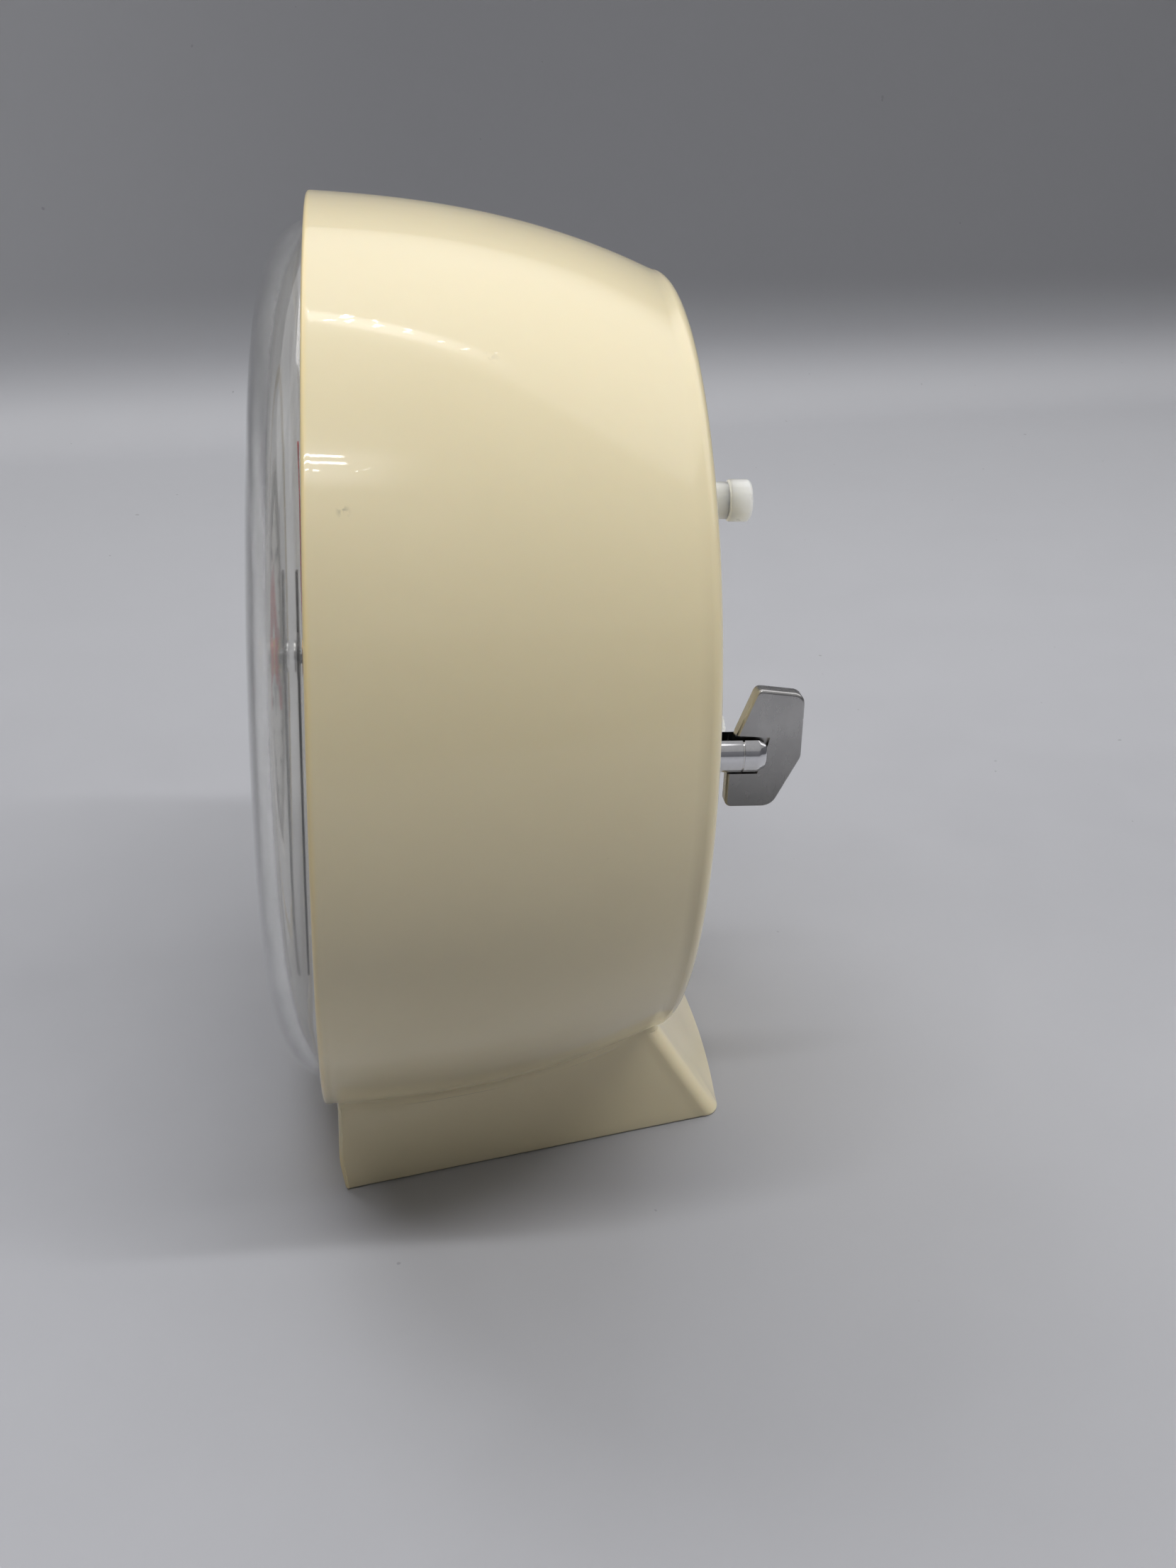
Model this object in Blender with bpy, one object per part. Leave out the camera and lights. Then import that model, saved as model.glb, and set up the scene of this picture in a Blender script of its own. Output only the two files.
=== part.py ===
"""Key-wound kitchen timer: drum case on a moulded foot, domed lens, spring
movement with gear train, bell and hammer, rear winding key and stop knob.
Front (dial and lens) faces -Y, back faces +Y, Z is up.
All working dimensions below are millimetres in the case's own layout:
y = 0 is the front rim plane, x = z = 0 is the drum's axis."""
import math
import bpy
import bmesh
import numpy as np
from mathutils import Vector
from mathutils.geometry import delaunay_2d_cdt

for ob in list(bpy.data.objects):
    bpy.data.objects.remove(ob, do_unlink=True)

# ---------------------------------------------------------------- dimensions
FOOT_Z = -61.0          # underside of the foot
LENS_FRONT = -6.8       # front of the domed lens
KEY_BACK = 59.9         # rearmost edge of the winding wing
RIM_R = 57.5            # drum radius at the front rim
CASE_END = 43.6         # rear plane of the drum
WALL = 2.2
SEAT_R = 54.6           # bore that the lens sits in
OPENING_R = 44.8        # rear opening, rebate for the back cover
LEDGE_R = 42.6
GAP = 0.3               # clearance kept between separate pieces

KEY_X, KEY_Z = 20.0, -5.6       # winding arbor axis
STOP_X, STOP_Z = 0.0, 21.0      # bell stop knob axis
SET_X, SET_Z = -5.0, -15.2      # setting arbor axis
THIRD_X, THIRD_Z = -9.0, 12.93
ESC_X, ESC_Z = -19.5, 5.6
PAL_X, PAL_Z = -22.5, -1.4
BAL_X, BAL_Z = -29.2, -10.6
BELL_X, BELL_Z = -19.0, 10.0
HAM_X, HAM_Z = -3.8, -7.0
POST_X, POST_Z = 29.0, 26.0     # movement pillars

FRONT_PLATE = (6.0, 7.2)
REAR_PLATE = (28.5, 29.7)

# shift from the case layout to the part's own origin (box bottom centre)
OY = -(LENS_FRONT + KEY_BACK) / 2.0
OZ = -FOOT_Z


def W(x, y, z):
    return (x / 1000.0, (y + OY) / 1000.0, (z + OZ) / 1000.0)


# ----------------------------------------------------------------- materials
def material(name, rgb, rough, metal=0.0, transmission=0.0):
    m = bpy.data.materials.new(name)
    m.use_nodes = True
    b = m.node_tree.nodes["Principled BSDF"]
    b.inputs["Base Color"].default_value = (rgb[0], rgb[1], rgb[2], 1.0)
    b.inputs["Roughness"].default_value = rough
    b.inputs["Metallic"].default_value = metal
    b.inputs["Transmission Weight"].default_value = transmission
    m.diffuse_color = (rgb[0], rgb[1], rgb[2], 1.0)
    return m


CREAM = (0.76, 0.68, 0.46)
CHROME = (0.78, 0.78, 0.79)
STEEL = (0.55, 0.56, 0.58)
BRASS = (0.72, 0.52, 0.20)


# --------------------------------------------------------------- mesh makers
def make_object(name, verts, faces, mat, origin=(0.0, 0.0, 0.0), sharp=35.0):
    """verts in layout millimetres; origin is the joint axis point."""
    o = np.array(W(*origin))
    me = bpy.data.meshes.new(name)
    pts = [tuple(np.array(W(*v)) - o) for v in verts]
    me.from_pydata(pts, [], faces)
    me.validate()
    bm = bmesh.new()
    bm.from_mesh(me)
    bmesh.ops.remove_doubles(bm, verts=bm.verts, dist=1e-7)
    bmesh.ops.recalc_face_normals(bm, faces=bm.faces)
    bm.to_mesh(me)
    bm.free()
    me.shade_smooth()
    me.set_sharp_from_angle(angle=math.radians(sharp))
    ob = bpy.data.objects.new(name, me)
    ob.location = o
    me.materials.append(mat)
    bpy.context.scene.collection.objects.link(ob)
    return ob


def turned(name, profile, centre, mat, n=32, origin=None, sharp=35.0, phase=0.0):
    """Turn (radius, y) points about the Y axis through centre (x, z).
    A profile that starts and ends at radius 0 is solid; any other is closed
    as a ring."""
    cx, cz = centre
    solid = profile[0][0] == 0 and profile[-1][0] == 0
    verts, faces, rows = [], [], []
    for r, y in profile:
        if r == 0:
            rows.append([len(verts)])
            verts.append((cx, y, cz))
        else:
            row = []
            for k in range(n):
                a = 2 * math.pi * k / n + phase
                row.append(len(verts))
                verts.append((cx + r * math.sin(a), y, cz + r * math.cos(a)))
            rows.append(row)
    count = len(rows) if not solid else len(rows) - 1
    for i in range(count):
        a, b = rows[i], rows[(i + 1) % len(rows)]
        for k in range(n):
            k2 = (k + 1) % n
            if len(a) == 1 and len(b) == 1:
                continue
            if len(a) == 1:
                faces.append((a[0], b[k], b[k2]))
            elif len(b) == 1:
                faces.append((a[k], b[0], a[k2]))
            else:
                faces.append((a[k], b[k], b[k2], a[k2]))
    return make_object(name, verts, faces, mat, origin or (cx, 0.0, cz), sharp)


def circle(cx, cz, r, n, phase=0.0):
    return [(cx + r * math.sin(2 * math.pi * k / n + phase),
             cz + r * math.cos(2 * math.pi * k / n + phase)) for k in range(n)]


def inside(poly, x, z):
    hit = False
    for i in range(len(poly)):
        (x1, z1), (x2, z2) = poly[i], poly[i - 1]
        if (z1 > z) != (z2 > z) and x < (x2 - x1) * (z - z1) / (z2 - z1) + x1:
            hit = not hit
    return hit


def slab(name, outline, holes, y0, y1, mat, origin=(0, 0, 0), extra=(), lift=None,
         sharp=35.0):
    """Flat plate in the X-Z plane from y0 to y1, with through holes. extra
    adds points inside the face, and lift(x, z) raises both faces along +Y."""
    pts = [Vector(p) for p in outline]
    loops = [list(range(len(pts)))]
    for h in holes:
        loops.append(list(range(len(pts), len(pts) + len(h))))
        pts += [Vector(p) for p in h]
    pts += [Vector(p) for p in extra]
    edges = []
    for lp in loops:
        edges += [(lp[i], lp[(i + 1) % len(lp)]) for i in range(len(lp))]
    vo, _, fo, _, _, _ = delaunay_2d_cdt(pts, edges, [], 0, 1e-6)
    n = len(vo)
    tri = []
    for f in fo:
        mx = sum(vo[i][0] for i in f) / len(f)
        mz = sum(vo[i][1] for i in f) / len(f)
        if inside(outline, mx, mz) and not any(inside(h, mx, mz) for h in holes):
            tri.append(tuple(f))
    up = lift or (lambda x, z: 0.0)
    verts = [(v[0], y0 + up(v[0], v[1]), v[1]) for v in vo]
    verts += [(v[0], y1 + up(v[0], v[1]), v[1]) for v in vo]
    faces = list(tri) + [tuple(i + n for i in reversed(f)) for f in tri]
    seen = {}
    for f in tri:
        for i in range(len(f)):
            e = (f[i], f[(i + 1) % len(f)])
            seen[e] = True
    for (a, b) in seen:
        if (b, a) not in seen:
            faces.append((b, a, a + n, b + n))
    return make_object(name, verts, faces, mat, origin, sharp)


def gear_outline(cx, cz, teeth, module, phase=0.0, add=0.55, ded=0.95,
                 w_root=0.50, w_tip=0.20):
    """Trapezoidal clock teeth with generous side clearance. phase turns the
    first tooth away from +Z, towards +X."""
    rp = module * teeth / 2.0
    ra, rd = rp + add * module, rp - ded * module
    pitch = 2 * math.pi / teeth
    out = []
    for k in range(teeth):
        a = phase + k * pitch
        for r, w in ((rd, -w_root / 2), (ra, -w_tip / 2), (ra, w_tip / 2), (rd, w_root / 2)):
            t = a + w * pitch
            out.append((cx + r * math.sin(t), cz + r * math.cos(t)))
    return out


def windows(cx, cz, r0, r1, spokes, width, n=5, phase=0.0):
    """Openings between the crossings of a wheel."""
    out = []
    for s in range(spokes):
        a0 = phase + 2 * math.pi * s / spokes
        a1 = phase + 2 * math.pi * (s + 1) / spokes
        loop = []
        h0, h1 = width / 2 / r0, width / 2 / r1
        for k in range(n):
            t = a0 + h1 + (a1 - a0 - 2 * h1) * k / (n - 1)
            loop.append((cx + r1 * math.sin(t), cz + r1 * math.cos(t)))
        for k in range(3):
            t = a1 - h0 - (a1 - a0 - 2 * h0) * k / 2
            loop.append((cx + r0 * math.sin(t), cz + r0 * math.cos(t)))
        out.append(loop)
    return out


def rod(name, centre, steps, mat, n=12, origin=None):
    """Stepped arbor from (radius, y_start, y_end) steps."""
    prof = [(0, steps[0][1])]
    for r, a, b in steps:
        prof += [(r, a), (r, b)]
    prof.append((0, steps[-1][2]))
    return turned(name, prof, centre, mat, n, origin)


# ------------------------------------------------------------ case and foot
def drum_r(y):
    """Outer radius of the drum, drawn in slightly towards the back."""
    t = y / CASE_END
    return RIM_R - 1.35 * t - 3.9 * t ** 2 - 3.75 * t ** 3


FOOT_TOP_BACK = -44.6   # where the sloping back of the foot leaves the drum
FILLET = 2.6


def foot_x(y):
    """Half width of the foot, narrowing towards the back."""
    return 32.9 - 0.249 * y


def y_front(z):
    return 2.3 * min(max((-46.0 - z) / 15.0, 0.0), 1.0)


def y_back(z, x=30.0):
    """Back of the foot: sloping out below the drum and slightly bowed across its width."""
    bow = max(1.0 - (x / 20.5) ** 2, 0.0)
    return CASE_END + (0.620 + 0.045 * bow) * max(FOOT_TOP_BACK - z, 0.0)


NA, NF, NW, NB = 24, 4, 2, 4    # columns: drum arc, fillet, foot side, underside


def outline_half(y_nom, y_side):
    """Half section from the top centre to the bottom centre, as (x, z)."""
    r, xw, f = drum_r(y_nom), foot_x(y_side), FILLET
    xc = xw + f
    zc = -math.sqrt(max((r + f) ** 2 - xc ** 2, 1.0))
    tf = math.atan2(xc, zc)
    pts = [(r * math.sin(tf * k / NA), r * math.cos(tf * k / NA)) for k in range(NA + 1)]
    a0 = math.atan2(-zc, -xc)
    a0 = math.atan2(pts[-1][1] - zc, pts[-1][0] - xc)
    a1 = math.pi
    if a0 < 0:
        a0 += 2 * math.pi
    for k in range(1, NF + 1):
        a = a0 + (a1 - a0) * k / NF
        pts.append((xc + f * math.cos(a), zc + f * math.sin(a)))
    zt = pts[-1][1]
    zb = FOOT_Z
    for k in range(1, NW + 1):
        pts.append((xw, zt + (zb - zt) * k / NW))
    for k in range(1, NB + 1):
        pts.append((xw * (1 - k / NB), zb))
    return pts


NCOL = NA + NF + NW + NB + 1
T_F = math.atan2(foot_x(20.0) + FILLET,
                 -math.sqrt((drum_r(20.0) + FILLET) ** 2 - (foot_x(20.0) + FILLET) ** 2))


def column_angle(k):
    if k <= NA:
        return T_F * k / NA
    return T_F + (math.pi - T_F) * (k - NA) / (NCOL - 1 - NA)


def build_case(mat):
    rows = []

    def ring(r, y):
        rows.append([(r * math.sin(column_angle(k)), y, r * math.cos(column_angle(k)))
                     for k in range(NCOL)])

    ring(SEAT_R, 0.0)
    ring(RIM_R - 0.35, 0.0)
    ring(RIM_R - 0.02, 0.35)
    row = []
    for k in range(NCOL):
        a = column_angle(k)
        z = (RIM_R + 0.1) * math.cos(a)
        if k <= NA:
            row.append((drum_r(0.9) * math.sin(a), 0.9, drum_r(0.9) * math.cos(a)))
        else:
            row.append(((RIM_R + 0.1) * math.sin(a), max(0.9, y_front(z)), z))
    rows.append(row)
    stations = [0.0, 0.1, 0.25, 0.42, 0.6, 0.8, 1.0]
    y_start = 1.6

    def placed(frac, alpha):
        ye_nom = CASE_END
        out = []
        y_nom = y_start + frac * (ye_nom - 1.8 - y_start)
        half = outline_half(y_nom, y_nom)
        for k, (x, z) in enumerate(half):
            yf = max(y_start, y_front(z)) if z < -46 else y_start
            yb = y_back(z, x)
            w = min(max((k - NA) / float(NF), 0.0), 1.0)
            rho = 1.8 * (1 - w) + 2.5 * w
            ye = yb - rho
            y = yf + frac * (ye - yf) + rho * math.sin(alpha)
            inset = rho * (1 - math.cos(alpha))
            if k >= NA + NF:
                xw = foot_x(yf + frac * (yb - rho - yf))
                share = x / foot_x(y_nom)
                x = share * (xw - inset)
            else:
                r = math.hypot(x, z)
                x, z = x * (r - inset) / r, z * (r - inset * (1 - w)) / r
            out.append((x, y, z))
        return out

    for s in stations:
        rows.append(placed(s, 0.0))
    for q in (0.33, 0.67, 1.0):
        rows.append(placed(1.0, q * math.pi / 2))
    last = rows[-1]
    for t in (0.3, 0.65):
        row = []
        for k in range(NCOL):
            a = column_angle(k)
            tx, tz = (OPENING_R + 0.4) * math.sin(a), (OPENING_R + 0.4) * math.cos(a)
            x = last[k][0] * (1 - t) + tx * t
            z = last[k][2] * (1 - t) + tz * t
            row.append((x, y_back(z, x), z))
        rows.append(row)
    ring(OPENING_R, CASE_END)
    ring(OPENING_R, 42.2)
    ring(LEDGE_R, 42.2)
    ring(LEDGE_R, 40.4)
    ring(drum_r(40.4) - WALL, 40.4)
    for y in (30.0, 20.0, 10.0, 3.0):
        ring(drum_r(y) - WALL, y)
    ring(SEAT_R, 3.0)
    # mirror the half section to close each row
    verts, faces, idx = [], [], []
    for row in rows:
        full = list(row) + [(-x, y, z) for (x, y, z) in reversed(row[1:-1])]
        idx.append(list(range(len(verts), len(verts) + len(full))))
        verts += full
    m = len(idx[0])
    for i in range(len(idx)):
        a, b = idx[i], idx[(i + 1) % len(idx)]
        for k in range(m):
            k2 = (k + 1) % m
            faces.append((a[k], a[k2], b[k2], b[k]))
    return make_object("case_shell", verts, faces, mat, sharp=28.0)


def foot_cutter():
    """Hollow under the foot, roofed by the drum's wall."""
    nx, ny = 10, 8
    verts, faces = [], []
    y0, y1 = 5.2, 46.5
    top = []
    bot = []
    for j in range(ny + 1):
        t = j / ny
        rt, rb = [], []
        for i in range(nx + 1):
            u = -1 + 2 * i / nx
            yb_hi = 41.4
            y_top = y0 + (yb_hi - y0) * t
            xx = u * (foot_x(y_top) - 3.0)
            zt = -math.sqrt((drum_r(y_top) + 0.25) ** 2 - xx ** 2)
            rt.append(len(verts))
            verts.append((xx, y_top, zt))
        for i in range(nx + 1):
            u = -1 + 2 * i / nx
            y_bot = y0 + (49.2 - y0) * t
            xx = u * (foot_x(y_bot) - 3.0)
            rb.append(len(verts))
            verts.append((xx, y_bot, -63.0))
        top.append(rt)
        bot.append(rb)
    for j in range(ny):
        for i in range(nx):
            faces.append((top[j][i], top[j][i + 1], top[j + 1][i + 1], top[j + 1][i]))
            faces.append((bot[j][i], bot[j + 1][i], bot[j + 1][i + 1], bot[j][i + 1]))
        faces.append((top[j][0], top[j + 1][0], bot[j + 1][0], bot[j][0]))
        faces.append((top[j][nx], bot[j][nx], bot[j + 1][nx], top[j + 1][nx]))
    for i in range(nx):
        faces.append((top[0][i], bot[0][i], bot[0][i + 1], top[0][i + 1]))
        faces.append((top[ny][i], top[ny][i + 1], bot[ny][i + 1], bot[ny][i]))
    ob = make_object("foot_hollow_cutter", verts, faces, material("cutter", (1, 0, 0), 0.5))
    ob.hide_render = True
    ob.hide_viewport = False
    ob.display_type = "WIRE"
    return ob


cream = material("cream_plastic", CREAM, 0.32)
case = build_case(cream)
cut = foot_cutter()
mod = case.modifiers.new("foot_hollow", "BOOLEAN")
mod.operation = "DIFFERENCE"
mod.object = cut

# ------------------------------------------------------------- lens and dial
clear = material("clear_lens", (0.92, 0.94, 0.93), 0.05, 0.0, 0.9)


def dome(r, radius, height, n, e):
    return -height * max(1 - (r / radius) ** n, 0.0) ** e


lens_prof = [(0, dome(0, 54.2, 6.8, 10.8, 0.69))]
for r in (28, 40, 46, 49.5, 51.7, 53.1, 53.95):
    lens_prof.append((r, dome(r, 54.2, 6.8, 10.8, 0.69)))
lens_prof += [(54.2, 0.0), (54.2, 2.2), (52.3, 2.2), (52.3, 0.2)]
for r in (51.9, 50.2, 47.0, 40):
    lens_prof.append((r, dome(r, 52.3, 5.2, 10.0, 0.70)))
lens_prof.append((0, -5.2))
turned("lens", lens_prof, (0, 0), clear, 52, sharp=50)

silver = material("silver_ring", (0.74, 0.75, 0.77), 0.3, 0.8)
turned("dial_ring", [(51.9, 0.2), (51.9, 2.2), (48.6, 2.2), (48.6, 1.8)], (0, 0), silver, 48)
white = material("dial_white", (0.80, 0.80, 0.76), 0.5)
slab("dial_plate", circle(0, 0, 54.2, 48), [circle(0, 0, 3.2, 16)], 2.6, 3.4, white)

black = material("hand_black", (0.02, 0.02, 0.022), 0.4)
red = material("hand_red", (0.62, 0.03, 0.02), 0.4)


def hand(name, y0, y1, length, tail, half_w, hub, bore, angle, mat, tip=0.25):
    """Tapered pointer with a hub, lying at the given clock angle (deg)."""
    a = math.radians(angle)
    s, c = math.sin(a), math.cos(a)
    pts = []
    loc = [(-half_w * 0.8, -tail), (half_w * 0.8, -tail)]
    for k in range(5):
        t = math.pi / 2 + (math.pi / 2 - math.asin(half_w / hub)) * (1 - 2 * k / 4)
    right = []
    b = math.asin(half_w / hub)
    for k in range(6):
        t = -(math.pi / 2 - b) + (math.pi - 2 * b) * k / 5
        right.append((hub * math.cos(t), hub * math.sin(t)))
    loc = [(-half_w, -tail), (half_w, -tail)] + right + [(tip, length), (-tip, length)]
    loc += [(-x, z) for x, z in reversed(right)]
    for x, z in loc:
        pts.append((x * c + z * s, -x * s + z * c))
    return slab(name, pts, [circle(0, 0, bore, 12)], y0, y1, mat)


hand("timer_hand", -3.9, -3.4, 43.0, 11.0, 1.5, 3.6, 1.25, 164.0, black)
hand("set_hand", -2.2, -1.7, 31.0, 8.0, 1.0, 3.8, 2.75, 14.0, red)
turned("hand_cap", [(0, -4.75), (1.6, -4.65), (2.1, -4.45), (2.1, -4.2), (0, -4.2)],
       (0, 0), material("cap_metal", (0.7, 0.7, 0.7), 0.25, 1.0), 24)

# ------------------------------------------------------------ movement frame
steel = material("plate_steel", (0.60, 0.60, 0.60), 0.35, 1.0)
brass = material("wheel_brass", BRASS, 0.3, 1.0)
dark = material("arbor_steel", STEEL, 0.25, 1.0)
chrome = material("chrome", CHROME, 0.08, 1.0)


def plate_outline(hx, hz, rc, n=5):
    pts = []
    for sx, sz, a0 in ((1, 1, 0), (1, -1, 90), (-1, -1, 180), (-1, 1, 270)):
        for k in range(n):
            a = math.radians(a0 + 90 * k / (n - 1))
            pts.append((sx * (hx - rc) + rc * math.sin(a), sz * (hz - rc) + rc * math.cos(a)))
    return pts


PLATE = plate_outline(35.0, 31.5, 7.0)
posts = [(POST_X, POST_Z), (POST_X, -POST_Z), (-POST_X, -POST_Z), (-POST_X, POST_Z)]
front_holes = [circle(0, 0, 3.0, 16), circle(KEY_X, KEY_Z, 1.8, 12),
               circle(SET_X, SET_Z, 1.5, 12), circle(THIRD_X, THIRD_Z, 0.9, 8),
               circle(ESC_X, ESC_Z, 0.9, 8), circle(PAL_X, PAL_Z, 0.9, 8),
               circle(BAL_X, BAL_Z, 0.9, 8)] + [circle(x, z, 1.5, 10) for x, z in posts]
slab("front_plate", PLATE, front_holes, *FRONT_PLATE, steel)
rear_holes = [circle(0, 0, 1.3, 10), circle(KEY_X, KEY_Z, 2.9, 16),
              circle(SET_X, SET_Z, 1.5, 12), circle(THIRD_X, THIRD_Z, 0.9, 8),
              circle(ESC_X, ESC_Z, 0.9, 8), circle(PAL_X, PAL_Z, 0.9, 8),
              circle(BAL_X, BAL_Z, 0.9, 8), circle(HAM_X, HAM_Z, 1.2, 10),
              circle(BELL_X, BELL_Z, 1.5, 10), circle(STOP_X, STOP_Z, 1.5, 12),
              circle(KEY_X + 11.2, KEY_Z, 0.9, 8)]
rear_holes += [circle(x, z, 1.5, 10) for x, z in posts]
slab("rear_plate", PLATE, rear_holes, *REAR_PLATE, steel)
for i, (x, z) in enumerate(posts, 1):
    # the front end backs the dial, the rear end passes into the cover post
    rod("pillar_%d" % i, (x, z), [(1.2, 3.7, 7.5), (2.2, 7.5, 28.2), (1.2, 28.2, 33.6)], steel, 8)
    turned("cover_post_%d" % i, [(1.5, 30.0), (2.8, 30.0), (2.8, 41.3), (1.5, 41.3)], (x, z),
           steel, 8)

# --------------------------------------------------- mainspring and winding
M1 = 2 * math.hypot(KEY_X, KEY_Z) / (45 + 10)
turned("spring_barrel", [(14.6, 9.0), (14.6, 17.2), (13.6, 17.2), (13.6, 10.0), (3.0, 10.0),
                         (3.0, 9.0)], (KEY_X, KEY_Z), brass, 32)
great_phase = math.atan2(-KEY_X, -KEY_Z)
slab("great_wheel", gear_outline(KEY_X, KEY_Z, 45, M1, great_phase),
     [circle(KEY_X, KEY_Z, 3.0, 16)] + windows(KEY_X, KEY_Z, 5.5, 13.2, 5, 2.6),
     17.6, 18.8, brass, (KEY_X, 0, KEY_Z))
spiral = []
turns, ns = 3.25, 52
for side in (0, 1):
    seq = range(ns + 1) if side == 0 else range(ns, -1, -1)
    for k in seq:
        t = k / ns
        r = 3.1 + 9.6 * t + (0.0 if side == 0 else 0.45)
        a = 2 * math.pi * turns * t
        spiral.append((KEY_X + r * math.sin(a), KEY_Z + r * math.cos(a)))
slab("mainspring", spiral, [], 10.6, 16.4, dark, (KEY_X, 0, KEY_Z))
rod("winding_arbor", (KEY_X, KEY_Z), [(1.4, 6.1, 7.6), (2.5, 7.6, 47.9)],
    chrome, 20)
ratchet = []
for k in range(16):
    a = math.radians(90) + 2 * math.pi * k / 16
    ratchet.append((KEY_X + 5.3 * math.sin(a + 0.04), KEY_Z + 5.3 * math.cos(a + 0.04)))
    ratchet.append((KEY_X + 6.9 * math.sin(a + 0.36), KEY_Z + 6.9 * math.cos(a + 0.36)))
slab("ratchet_wheel", ratchet, [circle(KEY_X, KEY_Z, 2.8, 16)], 30.2, 31.4, dark,
     (KEY_X, 0, KEY_Z))
# the click stands just clear of the ratchet's tips
cl = (KEY_X + 11.2, KEY_Z)
slab("click", [(cl[0] + 1.7, cl[1] - 1.2), (cl[0] + 1.7, cl[1] + 1.6), (cl[0] - 0.6, cl[1] + 2.0),
               (cl[0] - 3.9, cl[1] + 1.0), (cl[0] - 3.6, cl[1] - 0.2), (cl[0] - 0.8, cl[1] - 1.4)],
     [circle(cl[0], cl[1], 1.15, 10)], 30.3, 31.3, dark, (cl[0], 0, cl[1]))
rod("click_screw", cl, [(0.6, 28.6, 29.9), (0.85, 29.9, 31.6), (1.8, 31.6, 32.4)], steel, 8)
slab("click_spring", [(cl[0] - 1.6, cl[1] + 2.45), (cl[0] + 2.1, cl[1] + 2.2),
                      (cl[0] + 2.4, cl[1] + 9.0), (cl[0] + 1.8, cl[1] + 9.0),
                      (cl[0] + 1.6, cl[1] + 2.8), (cl[0] - 1.6, cl[1] + 2.85)], [],
     30.3, 31.0, dark)

# --------------------------------------------------------------- going train
rod("centre_arbor", (0, 0), [(0.95, -4.1, 8.0), (1.3, 8.0, 27.9), (0.95, 27.9, 31.0)], dark, 14)
pin_phase = math.atan2(KEY_X, KEY_Z) + math.pi / 10
slab("centre_pinion", gear_outline(0, 0, 10, M1, pin_phase, 0.5, 0.95, 0.46, 0.16),
     [circle(0, 0, 1.6, 10)], 16.9, 19.5, dark, (0, 0, 0))
M2 = 2 * math.hypot(THIRD_X, THIRD_Z) / (48 + 8)
slab("centre_wheel", gear_outline(0, 0, 48, M2, math.atan2(THIRD_X, THIRD_Z)),
     [circle(0, 0, 1.6, 10)] + windows(0, 0, 4.2, 11.2, 4, 2.2, phase=0.4), 22.0, 23.0, brass)
rod("third_arbor", (THIRD_X, THIRD_Z), [(0.6, 6.1, 7.9), (1.0, 7.9, 27.8), (0.6, 27.8, 29.6)],
    dark, 10)
slab("third_pinion", gear_outline(THIRD_X, THIRD_Z, 8, M2,
                                  math.atan2(-THIRD_X, -THIRD_Z) + math.pi / 8, 0.5, 0.95,
                                  0.44, 0.16),
     [circle(THIRD_X, THIRD_Z, 1.3, 10)], 21.4, 23.6, dark, (THIRD_X, 0, THIRD_Z))
M3 = 2 * math.hypot(ESC_X - THIRD_X, ESC_Z - THIRD_Z) / (49 + 7)
slab("third_wheel", gear_outline(THIRD_X, THIRD_Z, 49, M3,
                                 math.atan2(ESC_X - THIRD_X, ESC_Z - THIRD_Z)),
     [circle(THIRD_X, THIRD_Z, 1.3, 10)] + windows(THIRD_X, THIRD_Z, 3.4, 9.2, 4, 1.8),
     12.0, 13.0, brass, (THIRD_X, 0, THIRD_Z))
rod("escape_arbor", (ESC_X, ESC_Z), [(0.6, 6.1, 29.6)], dark, 10)
slab("escape_pinion", gear_outline(ESC_X, ESC_Z, 7, M3,
                                   math.atan2(THIRD_X - ESC_X, THIRD_Z - ESC_Z) + math.pi / 7,
                                   0.45, 0.95, 0.42, 0.16),
     [circle(ESC_X, ESC_Z, 0.9, 10)], 11.4, 13.6, dark, (ESC_X, 0, ESC_Z))
esc = []
for k in range(15):
    a = 2 * math.pi * k / 15
    esc.append((ESC_X + 4.2 * math.sin(a), ESC_Z + 4.2 * math.cos(a)))
    esc.append((ESC_X + 5.6 * math.sin(a + 0.02), ESC_Z + 5.6 * math.cos(a + 0.02)))
    esc.append((ESC_X + 5.6 * math.sin(a + 0.09), ESC_Z + 5.6 * math.cos(a + 0.09)))
    esc.append((ESC_X + 4.3 * math.sin(a + 0.24), ESC_Z + 4.3 * math.cos(a + 0.24)))
slab("escape_wheel", esc, [circle(ESC_X, ESC_Z, 1.1, 8)] + windows(ESC_X, ESC_Z, 1.9, 3.5, 4, 0.8),
     15.4, 16.2, brass, (ESC_X, 0, ESC_Z))

# pallet lever, staff and sprung balance
rod("pallet_arbor", (PAL_X, PAL_Z), [(0.6, 6.1, 7.9), (0.8, 7.9, 27.8), (0.6, 27.8, 29.6)],
    dark, 10)
dx, dz = ESC_X - PAL_X, ESC_Z - PAL_Z
dl = math.hypot(dx, dz)
ux, uz = dx / dl, dz / dl            # towards the escape wheel
vx, vz = uz, -ux                     # across


def pal(a, b):
    return (PAL_X + ux * a + vx * b, PAL_Z + uz * a + vz * b)


bx, bz = BAL_X - PAL_X, BAL_Z - PAL_Z
bl = math.hypot(bx, bz)
sx, sz = bx / bl, bz / bl
tx, tz = sz, -sx


def tail(a, b):
    return (PAL_X + sx * a + tx * b, PAL_Z + sz * a + tz * b)


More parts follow.
